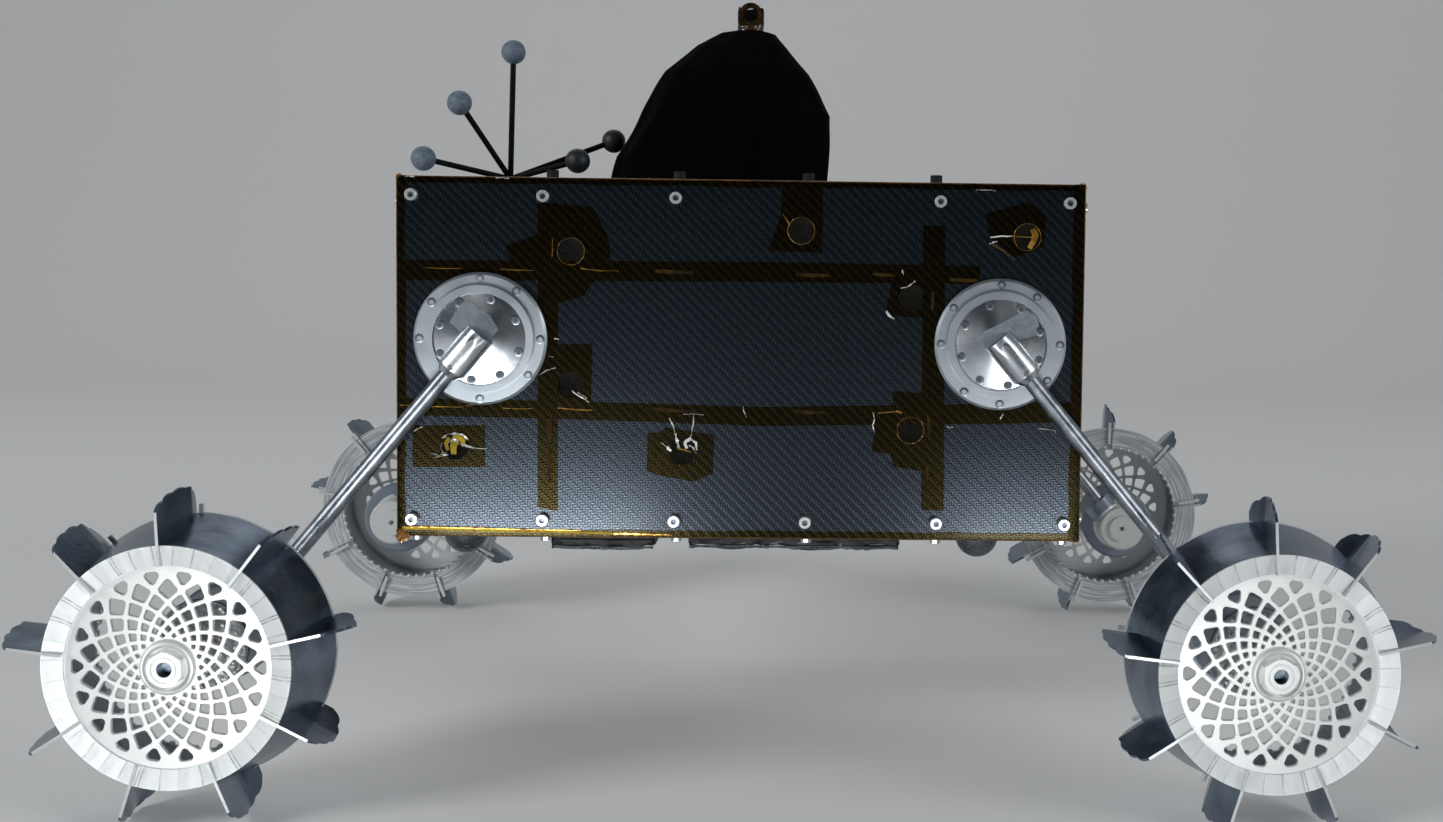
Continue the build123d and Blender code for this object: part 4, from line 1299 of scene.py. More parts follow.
def panel_frame(side):
    """Matrix of a side panel's frame: X to the viewer's right, Y up from the shoulder line, Z outward."""
    return Matrix(
        ((-side, 0, 0, 0), (0, 0, side, side * PANEL_FACE * MM), (0, 1, 0, SHOULDER_Z * MM), (0, 0, 0, 1))
    )


def film_sheet(outline, lift, openings=()):
    """Flat film cut to an outline, with round openings, laid above a face by its lift."""
    loops = [[Vector((u, w, 0)) for u, w in outline]]
    for u, w, radius in openings:
        loops.append([Vector((u, w, 0)) + polar(radius, 360 * i / 40).to_3d() for i in range(40)])
    triangles = tessellate_polygon(loops)
    bm = bmesh.new()
    layers = []
    for z in (lift, lift - FILM_THICKNESS):
        made = [point(bm, p.x, p.y, z) for loop in loops for p in loop]
        for triangle in triangles:
            bm.faces.new([made[i] for i in triangle])
        layers.append(made)
    start = 0
    for loop in loops:
        end = start + len(loop)
        bridge(bm, [layer[start:end] for layer in layers])
        start = end
    return to_mesh("film", bm, 30)


def inside(outline, u, w):
    """Whether a flat point lies inside an outline."""
    hit = False
    for (ua, wa), (ub, wb) in zip(outline, outline[1:] + outline[:1]):
        if (wa > w) != (wb > w) and u < (ub - ua) * (w - wa) / (wb - wa) + ua:
            hit = not hit
    return hit


def crumple(radius, seed, stretch=(1, 1, 1), depth=0.45):
    """A small lump of folded film: a ball pushed in along sharp creases."""
    bm = bmesh.new()
    bmesh.ops.create_icosphere(bm, subdivisions=4, radius=1.0)
    for v in bm.verts:
        at = v.co * 1.6 + Vector((seed * 7.3, seed * 3.1, seed * 5.7))
        crease = 1 - abs(noise.noise(at)) * 2
        fine = noise.noise(at * 2.7)
        scale = radius * (1 - depth + depth * crease + 0.12 * fine)
        v.co = Vector((v.co.x * stretch[0], v.co.y * stretch[1], v.co.z * stretch[2])) * scale * MM
    return to_mesh("crumple", bm, 25)


def panel_point(px, py):
    """Right of the panel's middle and above the shoulder line, from a place in the photograph."""
    right = (px - 741.1) / 1.683
    return right, (339.9 + 0.0037 * right - py) / 1.69


def ribbon(points, width, seed, flat=False):
    """A thread of torn film through points in millimetres: a thin strip that twists, or lies flat."""
    steps = 5
    path = []
    for a, b in zip(points, points[1:]):
        path += [Vector(a).lerp(Vector(b), i / steps) for i in range(steps)]
    path.append(Vector(points[-1]))
    bm = bmesh.new()
    rings = []
    for i, p in enumerate(path):
        before, after = path[max(i - 1, 0)], path[min(i + 1, len(path) - 1)]
        along = (after - before).normalized()
        jitter = noise.noise_vector(Vector((i * 0.8, seed * 3.7, 0))) * (0.08 if flat else 0.35)
        twist = 0.0 if flat else seed + 2.4 * noise.noise(Vector((i * 0.22, seed, 1.5)))
        side = along.cross(Vector((0, 0, 1))).normalized()
        side.rotate(Matrix.Rotation(twist, 3, along))
        share = 1 - 0.55 * abs(i / (len(path) - 1) - 0.4)
        across, up = side * (width / 2 * share), along.cross(side) * 0.06
        corners = (across + up, up - across, -across - up, across - up)
        rings.append([bm.verts.new((p + jitter + c) * MM) for c in corners])
    bridge(bm, rings, ends=True)
    return to_mesh("ribbon", bm, 40)


def hole_ring(u, w):
    """The film's pressed-in edge round a hole: a thin raised ring."""
    middle, thickness = HOLE_RADIUS - 0.1, 0.12
    bm = bmesh.new()
    rings = []
    for a in angles(48):
        ring = []
        for b in angles(8):
            r = middle + thickness * math.cos(b)
            ring.append(point(bm, u + r * math.cos(a), w + r * math.sin(a), 0.4 + thickness * math.sin(b)))
        rings.append(ring)
    bridge(bm, rings + rings[:1])
    return to_mesh("hole_ring", bm, 60)


def hole_film(u, w, depth, rough, seed):
    """Film over a hole, drawn in like a shallow dish and wrinkled towards its edge."""
    steps = 8
    bm = bmesh.new()
    rows = []
    for i in range(steps + 1):
        share = i / steps
        r = (HOLE_RADIUS - 0.05) * share
        row = []
        for a in angles(40 if i else 1):
            fold = noise.noise(Vector((math.cos(a) * 2.2, math.sin(a) * 2.2, seed + i * 0.35)))
            z = -depth * (1 - share**2) + rough * fold * math.sin(math.pi * share) + 0.05
            row.append(point(bm, u + r * math.cos(a), w + r * math.sin(a), z))
        rows.append(row)
    bridge(bm, rows)
    shell = bmesh.ops.duplicate(bm, geom=list(bm.faces))
    lowered = [v for v in shell["geom"] if isinstance(v, bmesh.types.BMVert)]
    bmesh.ops.translate(bm, verts=lowered, vec=(0, 0, -FILM_THICKNESS * MM))
    bridge(bm, [rows[-1], [shell["vert_map"][v] for v in rows[-1]]])
    return to_mesh("hole_film", bm, 30)


def edge_tape(start, end, facing_a, facing_b, arms, materials, seed, lift):
    """Film folded over one edge of the body; its arms, a little uneven, lie on the two faces."""
    start, end = Vector(start), Vector(end)
    a_axis, b_axis = Vector(facing_a), Vector(facing_b)
    stations = max(2, int((end - start).length / 6))
    centre = lift - TAPE_BEND
    bend = [math.pi / 2 * k / 4 for k in range(5)]
    bm = bmesh.new()
    rings = []
    for i in range(stations + 1):
        at = start.lerp(end, i / stations)
        wave = [noise.noise(Vector((i * 0.35, seed * 5.1 + k * 9.7, 0.5))) * 0.9 for k in range(2)]
        ring = []
        for depth in (0.0, FILM_THICKNESS):
            reach = TAPE_BEND - depth
            section = [(lift - depth, -(arms[0] + wave[0]))]
            section += [(centre + reach * math.cos(a), centre + reach * math.sin(a)) for a in bend]
            section.append((-(arms[1] + wave[1]), lift - depth))
            if depth:
                section.reverse()
            ring += [bm.verts.new((at + a_axis * a + b_axis * b) * MM) for a, b in section]
        rings.append(ring)
    # The first strip of faces lies on one side, the one after the bend on the other, the rest is the fold
    for index, face in enumerate(bridge(bm, rings, ends=True)):
        strip = index % len(rings[0])
        face.material_index = 0 if strip == 0 else 1 if strip == len(bend) else 2
    mesh = to_mesh("edge_tape", bm, 50)
    for material in materials:
        mesh.materials.append(material)
    return mesh


def block(low, high):
    """A box mesh between two corners in millimetres."""
    bm = bmesh.new()
    bmesh.ops.create_cube(bm, size=1.0)
    low, high = Vector(low), Vector(high)
    for v in bm.verts:
        v.co = Vector([(low[k] + high[k]) / 2 + v.co[k] * (high[k] - low[k]) for k in range(3)]) * MM
    return to_mesh("block", bm, 30)


def foil_cover(seed):
    """Crushed foil over the end of a wheel drive, open at the shaft."""
    steps = 14
    bm = bmesh.new()
    rows = []
    for i in range(steps + 1):
        radius = FOIL_BORE + (FOIL_RADIUS - FOIL_BORE) * i / steps
        row = []
        for a in angles(72):
            at = Vector((radius * math.cos(a), radius * math.sin(a), seed * 40.0))
            fold = 1 - 2 * abs(noise.noise(at * 0.16)) + 0.4 * noise.noise(at * 0.5)
            height = 0.3 if i == steps else 0.7 + 1.1 * fold
            row.append(point(bm, at.x, at.y, DRIVE_END + height))
        rows.append(row)
    bridge(bm, rows)
    return to_mesh("foil", bm, 20)


def barrel_tape():
    """A strip of film on the inside of a barrel, low and towards its inner edge."""
    steps = 16
    bm = bmesh.new()
    rows = []
    for z, lift in ((12.0, 0.25), (30.0, 0.25), (30.0, 0.35), (12.0, 0.35)):
        radius = RIM_RADIUS + RIM_FLARE * (1 - z / WHEEL_WIDTH) - WALL - lift
        turns = [math.radians(-112 + 44 * k / steps) for k in range(steps + 1)]
        rows.append([polar_point(bm, radius, a, z) for a in turns])
    bridge(bm, rows + rows[:1], closed=False)
    for k in (0, steps):
        bm.faces.new([row[k] for row in rows])
    return to_mesh("tape", bm, 40)


def build_wheels():
    """Dress the four wheels: lattice, beads, sheet metal, folded blade ends, nut and the drive's foil."""
    spokes = lattice_plate()
    first_bead = Matrix.Translation(metres(INNER_EDGE, 0, INNER_DISH + 0.9))
    beads = grown_mesh(
        joined("bead", [(bead(BEAD_RADIUS), first_bead)]),
        RING_TREE,
        {"Copies": BEADS, "First Angle": 0.0, "Material": WHEEL_FACE},
    )
    beads.shade_smooth()
    tabs = grown_mesh(
        block(*BLADE_TAB),
        RING_TREE,
        {"Copies": BLADES, "First Angle": math.radians(BLADE_FIRST_ANGLE), "Material": WHEEL_FACE},
    )
    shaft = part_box("wheel_axle_front_left")[0][1] / MM - PANEL_FACE - WHEEL_FROM_PANEL
    axle = axle_mesh(shaft)
    machined, polished = "machined_aluminium", "polished_aluminium"
    for index, corner in enumerate(CORNERS):
        matrix = wheel_frame(corner)
        body = f"wheel_{corner}"
        lattice = place(f"lattice_{corner}", spokes.copy(), body, machined, WHEEL_FACE, matrix)
        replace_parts(lattice, f"wheel_spokes_{corner}")
        place(f"rim_beads_{corner}", beads.copy(), body, polished, WHEEL_FACE, matrix)
        place(f"blade_tabs_{corner}", tabs.copy(), body, polished, WHEEL_FACE, matrix, bevel=0.3)
        nut = place(f"shaft_and_nut_{corner}", axle.copy(), body, machined, matrix=matrix)
        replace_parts(nut, f"wheel_axle_{corner}")
        finish_node(f"wheel_rim_{corner}", WHEEL_SHEET, 0.3)
        foil = foil_cover(index + 1)
        cover = place(f"drive_foil_{corner}", foil, f"leg_{corner}", machined, DRIVE_FOIL, matrix)
        thicken(cover, 0.15)
    place("barrel_tape", barrel_tape(), "wheel_front_right", polished, FILM_FOLD, wheel_frame("front_right"))


def cone_height(radius):
    """How far a cap's turned face stands from the panel at a distance from its middle."""
    share = (radius - CAP_APEX_RADIUS) / (CAP_RADIUS - CAP_APEX_RADIUS)
    return CAP_APEX + (CAP_EDGE - CAP_APEX) * min(max(share, 0.0), 1.0)


def cap_label(outline):
    """A blank piece of tape that follows a cap's cone."""
    flat = film_sheet(outline, FILM_THICKNESS)
    bm = bmesh.new()
    bm.from_mesh(flat)
    for _ in range(4):
        bmesh.ops.subdivide_edges(bm, edges=[e for e in bm.edges if e.calc_length() > 1.6 * MM], cuts=1)
        bmesh.ops.triangulate(bm, faces=bm.faces)
    for v in bm.verts:
        radius = v.co.to_2d().length / MM
        v.co.z += (cone_height(radius) + 0.12) * MM
    return to_mesh("label", bm, 50)


def build_legs():
    """Finish the shoulders, the tubes and the wheel drives, with their screws and the blank tape pieces."""
    flush = flush_screw(2.7, 1.4)
    # A darker disc deep in each screw's dish: painted shade
    hollow = turned("recess", [(0, -0.3), (1.3, -0.3), (1.3, -0.1), (0, -0.1)], segments=12)
    set_screw = turned("set_screw", [(0, -1), (1.6, -1), (1.6, 0.2), (1.3, 0.5), (0, 0.5)], segments=16)
    lift = Vector((0, 0, (cone_height(CAP_SCREW_RADIUS) + 0.5) * MM))
    for index, corner in enumerate(CORNERS):
        finish_node(f"shoulder_flange_{corner}", FLANGE_METAL, 0.3)
        finish_node(f"shoulder_cap_{corner}", DISC, 0.3)
        finish_node(f"leg_tube_{corner}", STEEL, 0.2)
        finish_node(f"wheel_drive_{corner}", DRIVE_METAL, 0.4)
        side = side_of(corner)
        body = f"leg_{corner}"
        outboard = (0, side, 0)
        panel = panel_frame(side)
        across = -side * JOINTS[f"shoulder_{corner}"]["pos_m"][0]
        middle = Vector((across, 0, FLANGE_SCREW_HEIGHT * MM))
        spots = []
        for angle in FLANGE_SCREW_ANGLES:
            spots.append((panel @ (middle + polar(FLANGE_SCREW_RADIUS * MM, angle).to_3d()), outboard))
        heads = screws_on(spots, flush, STEEL, index)
        floors = screws_on(spots, hollow, SCREW_RECESS_SHADE, index)
        place(f"flange_screws_{corner}", heads, "chassis", "machined_aluminium")
        place(f"flange_recesses_{corner}", floors, "chassis", "dark_plastic")
        leg = shoulder_frame(corner)
        spots = []
        for angle in CAP_SCREW_ANGLES:
            spots.append((leg @ (polar(CAP_SCREW_RADIUS * MM, angle).to_3d() + lift), outboard))
        place(f"cap_recesses_{corner}", screws_on(spots, hollow, SCREW_RECESS_SHADE, index), body, "dark_plastic")
        heads = screws_on(spots, flush, STEEL, index + 7)
        set_at = leg @ Matrix.Translation(metres(SET_SCREW_AT[0], 0, SET_SCREW_AT[1]))
        both = joined("cap_screws", [(heads, Matrix()), (set_screw, set_at)], smooth=30)
        place(f"cap_screws_{corner}", both, body, "machined_aluminium", STEEL)
        if corner in LABELS:
            label = cap_label(LABELS[corner])
            label_at = panel @ Matrix.Translation((across, 0, 0))
            place(f"tape_piece_{corner}", label, body, "polished_aluminium", LABEL, label_at)


def build_body():
    """Finish the body's plates and closed pieces."""
    for node, material, bevel in (
        ("side_panel_left", CARBON_SIDE, 0.3),
        ("side_panel_right", CARBON_SIDE, 0.3),
        ("nose_panel", CARBON_END, 0.2),
        ("tail_panel", CARBON_END, 0.2),
        ("deck_panel", CARBON_FLAT, 0.2),
        ("belly_panel", CARBON_FLAT, 0.2),
        ("corner_frame", ALUMINIUM, 0.3),
        ("equipment_block", DARK_PLASTIC, 1.0),
        ("belly_feet", DUSTY_PLASTIC, 0.4),
        ("belly_slab", DARK_PLASTIC, 0.6),
        ("belly_tray", FROSTED, 0.6),
        ("mast", POST_FILM, 0.3),
        ("cable_gland", DARK_PLASTIC, 0.4),
    ):
        finish_node(node, material, bevel)


def ball_centres():
    """Middles of the marker balls, read from the CAD node's separate pieces."""
    bm = bmesh.new()
    bm.from_mesh(NODES["marker_balls"].data)
    bmesh.ops.remove_doubles(bm, verts=bm.verts, dist=0.001 * MM)
    centres = []
    left = set(bm.verts)
    while left:
        group, front = set(), [left.pop()]
        while front:
            v = front.pop()
            group.add(v)
            for edge in v.link_edges:
                other = edge.other_vert(v)
                if other in left:
                    left.remove(other)
                    front.append(other)
        low = Vector([min(v.co[k] for v in group) for k in range(3)])
        high = Vector([max(v.co[k] for v in group) for k in range(3)])
        centres.append((low + high) / 2)
    bm.free()
    return sorted(centres, key=lambda centre: centre.x)


def build_markers():
    """The tracking stand: a low foot, five black rods and five grey balls."""
    centres = ball_centres()
    # The foot stands a little forward of the highest ball, and the rods meet a little above the deck
    stand_x = max(centres, key=lambda c: c.z).x + 2.0 * MM
    root = Vector((stand_x, 0, (DECK + 5.0) * MM))
    foot = [(0, 0), (14.0, 0), (14.0, 2.6), (13.6, 3.0), (5.5, 3.0), (5.2, 6.6), (4.6, 7.0), (0, 7.0)]
    parts = [(turned("foot", foot), Matrix.Translation((stand_x, 0, DECK * MM)))]
    balls = []
    for centre in centres:
        reach = (centre - root).length / MM
        rod = turned("rod", [(0, 0), (MARKER_ROD, 0), (MARKER_ROD, reach), (0, reach)], segments=20)
        turn = (centre - root).to_track_quat("Z", "Y").to_matrix().to_4x4()
        parts.append((rod, Matrix.Translation(root) @ turn))
        bm = bmesh.new()
        bmesh.ops.create_uvsphere(bm, u_segments=32, v_segments=20, radius=MARKER_BALL * MM)
        balls.append((to_mesh("ball", bm, 180), Matrix.Translation(centre)))
    stand = joined("stand", parts, smooth=35)
    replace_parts(place("stand_rods", stand, "chassis", "black_rod", RODS), "marker_stand")
    spheres = joined("balls", balls, smooth=180)
    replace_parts(place("tracking_balls", spheres, "chassis", "reflective_grey", MARKERS), "marker_balls")


def skirt(x0, x1, y, top, low, seed, ragged):
    """A torn edge of clear film that hangs below a belly piece along one side."""
    bm = bmesh.new()
    columns = max(4, int(abs(x1 - x0) / 2))
    rows = []
    for i in range(columns + 1):
        x = x0 + (x1 - x0) * i / columns
        wave = noise.noise(Vector((x * 0.06, seed * 9.1, 0))) * 0.5
        tear = noise.noise(Vector((x * 0.3, seed, 4))) * 0.3
        column = []
        for k in range(5):
            share = k / 4
            push = noise.noise(Vector((x * 0.12, k * 0.8, seed * 3.3))) * 2.2 * share
            z = top + (low - top) * share * (0.75 + (wave + tear) * ragged)
            column.append(point(bm, x, y + push, z))
        rows.append(column)
    bridge(bm, rows, closed=False)
    return to_mesh("skirt", bm, 25)


def build_belly_film():
    """Clear film, torn and dusty, along the lower edges of the belly pieces."""
    # Each layer: its name, its upper and lower edge from the piece's underside, how torn it is, how far out
    layers = (
        ("film", 4.0, -3.0, 0.5, 0.4, DARK_PLASTIC),
        ("hem", -0.6, -3.4, 0.9, 1.2, FROSTED),
    )
    for node in ("belly_slab", "belly_tray"):
        low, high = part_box(node)
        x0, x1 = low[0] / MM + 1, high[0] / MM - 1
        bottom = low[2] / MM
        for side, name in ((1, "left"), (-1, "right")):
            seed = side * 2 + len(node)
            for layer, top, edge, ragged, off, material in layers:
                y = side * (high[1] / MM + off)
                film = skirt(x0, x1, y, bottom + top, bottom + edge, seed, ragged)
                hung = place(f"{node}_{layer}_{name}", film, "chassis", "frosted_plastic", material)
                thicken(hung, 0.15)


def build_screws():
    """The body's own screws: sides, ends, deck and belly."""
    spots = []
    for side in (1, -1):
        panel = panel_frame(side)
        for u in SCREW_COLUMNS:
            for w in SCREW_ROWS:
                if side < 0 or (u, w) != MISSING_SCREW:
                    spots.append((panel @ metres(u, w, 0), (0, side, 0)))
    socket_heads("side_screws", spots, SIDE_HEAD, SCREW_STEEL, 3)
    spots = []
    for end in (1, -1):
        for y in END_SCREWS_ACROSS:
            for row in END_SCREW_ROWS:
                spots.append((metres(end * BODY_HALF, y, SHOULDER_Z + row), (end, 0, 0)))
    socket_heads("end_screws", spots, END_HEAD, SCREW_STEEL, 5)
    spots = [(metres(x, y, BELLY), (0, 0, -1)) for x in SCREW_COLUMNS for y in BELLY_SCREWS_ACROSS]
    socket_heads("belly_screws", spots, BELLY_HEAD, SCREW_STEEL, 6)
    spots = []
    for u in STUB_COLUMNS:
        for side in (1, -1):
            spots.append((metres(-side * u, side * STUBS_FROM_MIDDLE, DECK), (0, 0, 1)))
    socket_heads("deck_screws", spots, STUB_HEAD, STUB_PLASTIC, 8)


def film_threads(rows, label, flat):
    """One mesh of a table's threads, which are pressed on at both ends and stand off a little between."""
    threads = []
    for index, (width, lift, line) in enumerate(rows):
        points = []
        for i, (px, py) in enumerate(line):
            loose = 0.5 if 0 < i < len(line) - 1 else 0
            points.append((*panel_point(px, py), lift + loose))
        threads.append((ribbon(points, width, index + len(label), flat), Matrix()))
    return joined(label, threads)


def build_film():
    """Film tape on both sides, and what is torn or folded at the holes."""
    body, slot = "chassis", "carbon_plate"
    for side, name in ((1, "left"), (-1, "right")):
        panel = panel_frame(side)
        sheets = []
        for lift, outline in FILM_TAPES:
            openings = [(u, w, HOLE_RADIUS + 0.1) for u, w in HOLES if inside(outline, u, w)]
            sheets.append((film_sheet(outline, lift, openings), Matrix()))
        place(f"film_tape_{name}", joined("film", sheets), body, slot, FILM_SIDE, panel)
        # Hole rims are painted bright gold, painted glint
        rings = [(hole_ring(*HOLES[k]), Matrix()) for k in RIMMED_HOLES]
        place(f"hole_rims_{name}", joined("rings", rings), body, slot, FILM_PAINTED_GLINT, panel)
        # Film over each hole, painted dark as the hole's shade
        dishes = [(hole_film(*hole, 1.2, 0.5, k), Matrix()) for k, hole in enumerate(HOLES)]
        place(f"hole_films_{name}", joined("dishes", dishes), body, slot, FILM_HOLE_SHADE, panel)
        for label, rows, material in (
            # Torn threads hold a few white strips of painted highlight along the deck's edge
            ("torn_film", TORN_THREADS, FILM_TORN),
            # The gold flashes are painted highlights
            ("gold_flashes", GOLD_PAINTED_HIGHLIGHTS, FILM_PAINTED_HIGHLIGHT),
            # The gold creases are painted glint
            ("gold_creases", GOLD_CREASES, FILM_PAINTED_GLINT),
            ("film_bars", FILM_BARS, FILM_BAR),
        ):
            threads = film_threads(rows, label, flat=label != "torn_film")
            place(f"{label}_{name}", threads, body, slot, material, panel)


def build_edge_tapes():
    """Film folded over the body's twelve edges, each kind laid a little over the one before."""
    x, y = BODY_HALF, PANEL_FACE
    overlap = 0.07
    tapes = []
    for side in (1, -1):
        for z, up, arm in ((DECK, 1, 3.9), (BELLY, -1, 4.6)):
            line = ((-x, side * y, z), (x, side * y, z))
            arms, materials = (arm, TAPE_REACH), (FILM_SIDE, FILM_FLAT, FILM_FOLD)
            tapes.append((*line, (0, side, 0), (0, 0, up), arms, materials, TAPE_LIFT))
        for end in (1, -1):
            line = ((end * x, side * y, BELLY), (end * x, side * y, DECK))
            arms, materials = (4.8 if end * side > 0 else 6.6, TAPE_REACH), (FILM_SIDE, FILM_END, FILM_FOLD)
            tapes.append((*line, (0, side, 0), (end, 0, 0), arms, materials, TAPE_LIFT + 2 * overlap))
    for end in (1, -1):
        for z, up in ((DECK, 1), (BELLY, -1)):
            line = ((end * x, -y, z), (end * x, y, z))
            arms, materials = (5.2, TAPE_REACH), (FILM_END, FILM_FLAT, FILM_FOLD)
            tapes.append((*line, (end, 0, 0), (0, 0, up), arms, materials, TAPE_LIFT + overlap))
    for index, (*run, lift) in enumerate(tapes):
        place(f"edge_tape_{index + 1}", edge_tape(*run, index, lift), "chassis", "carbon_plate")


def build_folded_corners():
    """A lump of bunched film at each corner of the body, the largest at the lower front left one."""
    lumps = []
    corners = [(a, b, c) for a in (1, -1) for b in (1, -1) for c in (1, -1)]
    for index, corner in enumerate(corners):
        z = DECK - 1.0 if corner[2] > 0 else BELLY + 1.0
        at = Vector((corner[0] * (BODY_HALF - 1.4), corner[1] * (PANEL_FACE - 1.4), z))
        size = 2.4
        if corner == (1, 1, -1):
            at += Vector((-1.2, 0.4, -0.6))
            size = 4.6
        lumps.append((crumple(size, index + 1, (1.0, 0.8, 1.1)), Matrix.Translation(at * MM)))
    place("folded_corners", joined("lumps", lumps), "chassis", "carbon_plate", FILM_LUMP)


def squared(value, power):
    """A sine or cosine raised to a power with its sign kept, which squares a circle's outline."""
    return math.copysign(abs(value) ** power, value)


def hood_section(row, angle):
    """A point of the hood's plan at an angle, on a rounded rectangle between its front, rear and sides."""
    height, front, rear, half_width = row
    power = 2 / 2.7
    x = (front + rear) / 2 + (front - rear) / 2 * squared(math.cos(angle), power)
    return Vector((x, half_width * squared(math.sin(angle), power), height))


def build_hood():
    """The black cloth hood: one sheet from the post down to its hem, with folds that deepen downwards."""
    around, upward = 192, 72
    spans = len(HOOD_ROWS) - 1
    top = HOOD_ROWS[-1][0]
    bm = bmesh.new()
    rings = []
    for i in range(upward + 1):
        share = i / upward * spans
        k = min(int(share), spans - 1)
        row = [a + (b - a) * (share - k) for a, b in zip(HOOD_ROWS[k], HOOD_ROWS[k + 1])]
        down = 1 - row[0] / top
        ring = []
        for angle in angles(around):
            p = hood_section(row, angle)
            out = Vector((p.x - MAST_X, p.y, 0)).normalized()
            fold = math.sin(9 * angle + 0.6) * 0.5 + math.sin(14 * angle + 2.1 + 1.3 * down) * 0.3
            fold += math.sin(23 * angle + 0.9) * 0.16
            wrinkle = noise.noise(Vector((math.cos(angle) * 2.4, math.sin(angle) * 2.4, row[0] * 0.035)))
            p += out * (fold * (0.5 + 2.6 * down**1.5) + wrinkle * 2.2 - 1.2)
            ring.append(point(bm, p.x, p.y, p.z + DECK + 0.3))
        rings.append(ring)
    bridge(bm, rings)
    hood = place("hood_cloth", to_mesh("hood", bm, 180), "chassis", "black_fabric", CLOTH)
    thicken(hood, 0.8)
    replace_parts(hood, "fabric_hood")


def build_mast_wrap():
    """Dark film wound round the post's top and drawn up behind the eye, with a loose upper edge."""
    around, upward = 48, 22
    gap, thickness = 0.35, 0.12
    # Heights above the deck: where the wrap starts, and where it begins to flatten and is flat
    foot, round_to, flat_from = 99.0, 108.0, 114.0
    bm = bmesh.new()
    rings = []
    for shell in (0, 1):
        for i in range(upward + 1) if shell == 0 else range(upward, -1, -1):
            share = i / upward
            ring = []
            for angle in angles(around):
                c, s = math.cos(angle), math.sin(angle)
                fold = abs(noise.noise(Vector((c * 2.3, s * 2.3, share * 4.2))))
                edge = noise.noise(Vector((c * 1.4, s * 1.4, 9.0)))
                tall = 14.0 + 12.5 * min(max(0.5 - 1.4 * s, 0.0), 1.0) + 2.0 * edge
                height = foot + share * tall
                flat = min(max((height - round_to) / (flat_from - round_to), 0.0), 1.0)
                power = 1.0 - 0.5 * flat
                wide = MAST_RADIUS + gap + 0.4 * flat
                deep = MAST_RADIUS + gap - 2.9 * flat
                swell = 0.8 * fold - thickness * shell
                x = MAST_X + (wide + swell) * squared(c, power)
                y = (deep + swell) * squared(s, power)
                ring.append(point(bm, x, y, DECK + height))
            rings.append(ring)
    bridge(bm, rings + rings[:1])
    place("post_wrap", to_mesh("wrap", bm, 30), "chassis", "machined_aluminium", WRAP_FILM)


def build_backdrop():
    """A pale floor that curves up into a pale backdrop; sizes in metres."""
    depth_back, depth_front, half_width, top, bend = -4.2, 1.9, 9.0, 6.0, 1.6
    steps = 12
    line = [(depth_front, 0.0)]
    for i in range(steps + 1):
        a = math.pi / 2 * i / steps
        line.append((depth_back + bend - bend * math.sin(a), bend - bend * math.cos(a)))
    line.append((depth_back, top))
    bm = bmesh.new()
    rows = [[bm.verts.new((x, y, z)) for x in (-half_width, half_width)] for y, z in line]
    bridge(bm, rows, closed=False)
    mesh = to_mesh("backdrop", bm, 60)
    backdrop = bpy.data.objects.new("backdrop", mesh)
    bpy.context.scene.collection.objects.link(backdrop)
    material, tree, shader, _ = new_material("pale_backdrop")
    path = add_node(tree, "ShaderNodeLightPath").outputs
    seen = value_of(tree, "MAXIMUM", path["Is Camera Ray"], path["Is Glossy Ray"])
    seen = value_of(tree, "MAXIMUM", seen, path["Is Transmission Ray"])
    set_surface(
        shader,
        Base_Color=linear("#dcdddd"),
        Roughness=1.0,
        Specular_IOR_Level=0.0,
        Emission_Color=linear("#dcdddd"),
        Emission_Strength=value_of(tree, "MULTIPLY", seen, 0.2),
    )
    mesh.materials.append(material)


def build_world():
    """An even world, darker low in front; seen directly, past the backdrop's ends, it is as pale as that."""
    world = bpy.data.worlds.new("studio")
    bpy.context.scene.world = world
    world.use_nodes = True
    tree = world.node_tree
    sky = tree.nodes["Background"]
    parts = axes_of(tree, add_node(tree, "ShaderNodeTexCoord").outputs["Generated"])
    front = value_of(tree, "MULTIPLY", parts["Y"], 1.43)
    fall = value_of(tree, "MULTIPLY_ADD", parts["Z"], -5.0, 0.1)
    rise = value_of(tree, "MULTIPLY_ADD", parts["Z"], 2.0, -0.6)
    ahead_tone = colours_of(tree, fall, (0.0, "#3f4349"), (1.0, "#a3a9b0"))
    behind_tone = colours_of(tree, rise, (0.0, "#dfe2e6"), (1.0, "#6d7278"))
    mixed = mix_of(tree, front, behind_tone, ahead_tone)
    direct = add_node(tree, "ShaderNodeLightPath").outputs["Is Camera Ray"]
    tree.links.new(mix_of(tree, direct, mixed, linear("#bdbfc1")), sky.inputs["Color"])
    tree.links.new(value_of(tree, "MULTIPLY_ADD", direct, 0.4, 0.6), sky.inputs["Strength"])


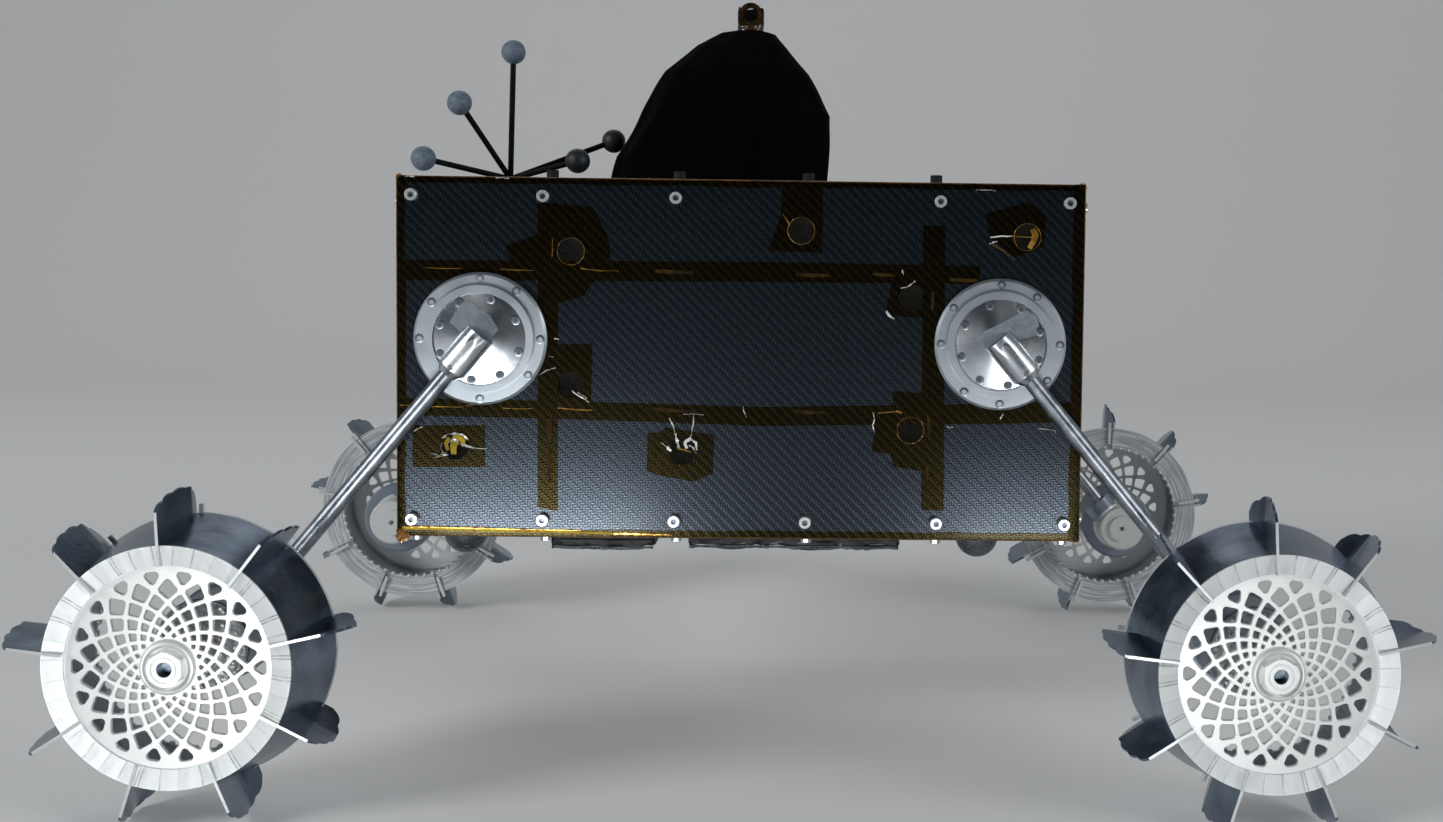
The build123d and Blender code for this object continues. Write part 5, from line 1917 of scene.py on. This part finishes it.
def build_lamps():
    """Three soft lamps, and two low ones that show in reflections only."""
    # Name, place, watts, width, height and what each looks at, in metres
    lamps = [
        ("key", (3.1, 2.3, 1.7), 66, 1.6, 1.0, (0, 0, 0.2)),
        ("fill", (-3.2, 2.1, 1.3), 42, 1.8, 1.2, (0, 0, 0.2)),
        ("back", (0.6, -2.6, 3.4), 12, 2.4, 1.6, (0, 0, 0.2)),
        ("low_left", (0.225, 0.6, 0.03), 1.5, 0.26, 0.05, (0.13, 0.175, 0.14)),
        ("low_right", (-0.245, 0.6, 0.03), 0.7, 0.16, 0.05, (-0.18, 0.175, 0.14)),
    ]
    for name, at, watts, wide, high, aim in lamps:
        lamp = bpy.data.lights.new(name, "AREA")
        lamp.energy = watts
        lamp.shape = "RECTANGLE"
        lamp.size = wide
        lamp.size_y = high
        holder = bpy.data.objects.new(name, lamp)
        holder.location = at
        holder.rotation_euler = (Vector(aim) - Vector(at)).to_track_quat("-Z", "Y").to_euler()
        if name.startswith("low"):
            holder.visible_diffuse = False
        bpy.context.scene.collection.objects.link(holder)


def build_camera():
    """The photograph's camera; the shift puts the lens's axis where the photograph's crop has it."""
    data = bpy.data.cameras.new("camera")
    camera = bpy.data.objects.new("camera", data)
    bpy.context.scene.collection.objects.link(camera)
    data.sensor_fit = "HORIZONTAL"
    data.sensor_width = 36.0
    data.lens = FOCAL_PIXELS * data.sensor_width / IMAGE_WIDTH
    data.shift_x = (IMAGE_WIDTH / 2 - PRINCIPAL_POINT[0]) / IMAGE_WIDTH
    data.shift_y = (PRINCIPAL_POINT[1] - IMAGE_HEIGHT / 2) / IMAGE_WIDTH
    data.clip_start = 0.01
    data.clip_end = 50.0
    turn = Matrix.Rotation(CAMERA_YAW, 3, "Z")
    right = turn @ Vector((-1, 0, 0))
    ahead = turn @ Vector((0, -1, 0))
    up = Vector((0, 0, 1))
    look = math.cos(CAMERA_PITCH) * ahead - math.sin(CAMERA_PITCH) * up
    top = math.sin(CAMERA_PITCH) * ahead + math.cos(CAMERA_PITCH) * up
    side = math.cos(CAMERA_ROLL) * right + math.sin(CAMERA_ROLL) * top
    crown = -math.sin(CAMERA_ROLL) * right + math.cos(CAMERA_ROLL) * top
    matrix = Matrix((side, crown, -look)).transposed().to_4x4()
    matrix.translation = Vector(CAMERA_AT)
    camera.matrix_world = matrix
    bpy.context.scene.camera = camera
    bpy.context.scene.view_settings.view_transform = "Standard"


build_camera()
build_backdrop()
build_world()
build_lamps()
build_wheels()
build_legs()
build_body()
build_markers()
build_belly_film()
build_screws()
build_film()
build_edge_tapes()
build_folded_corners()
build_hood()
build_mast_wrap()
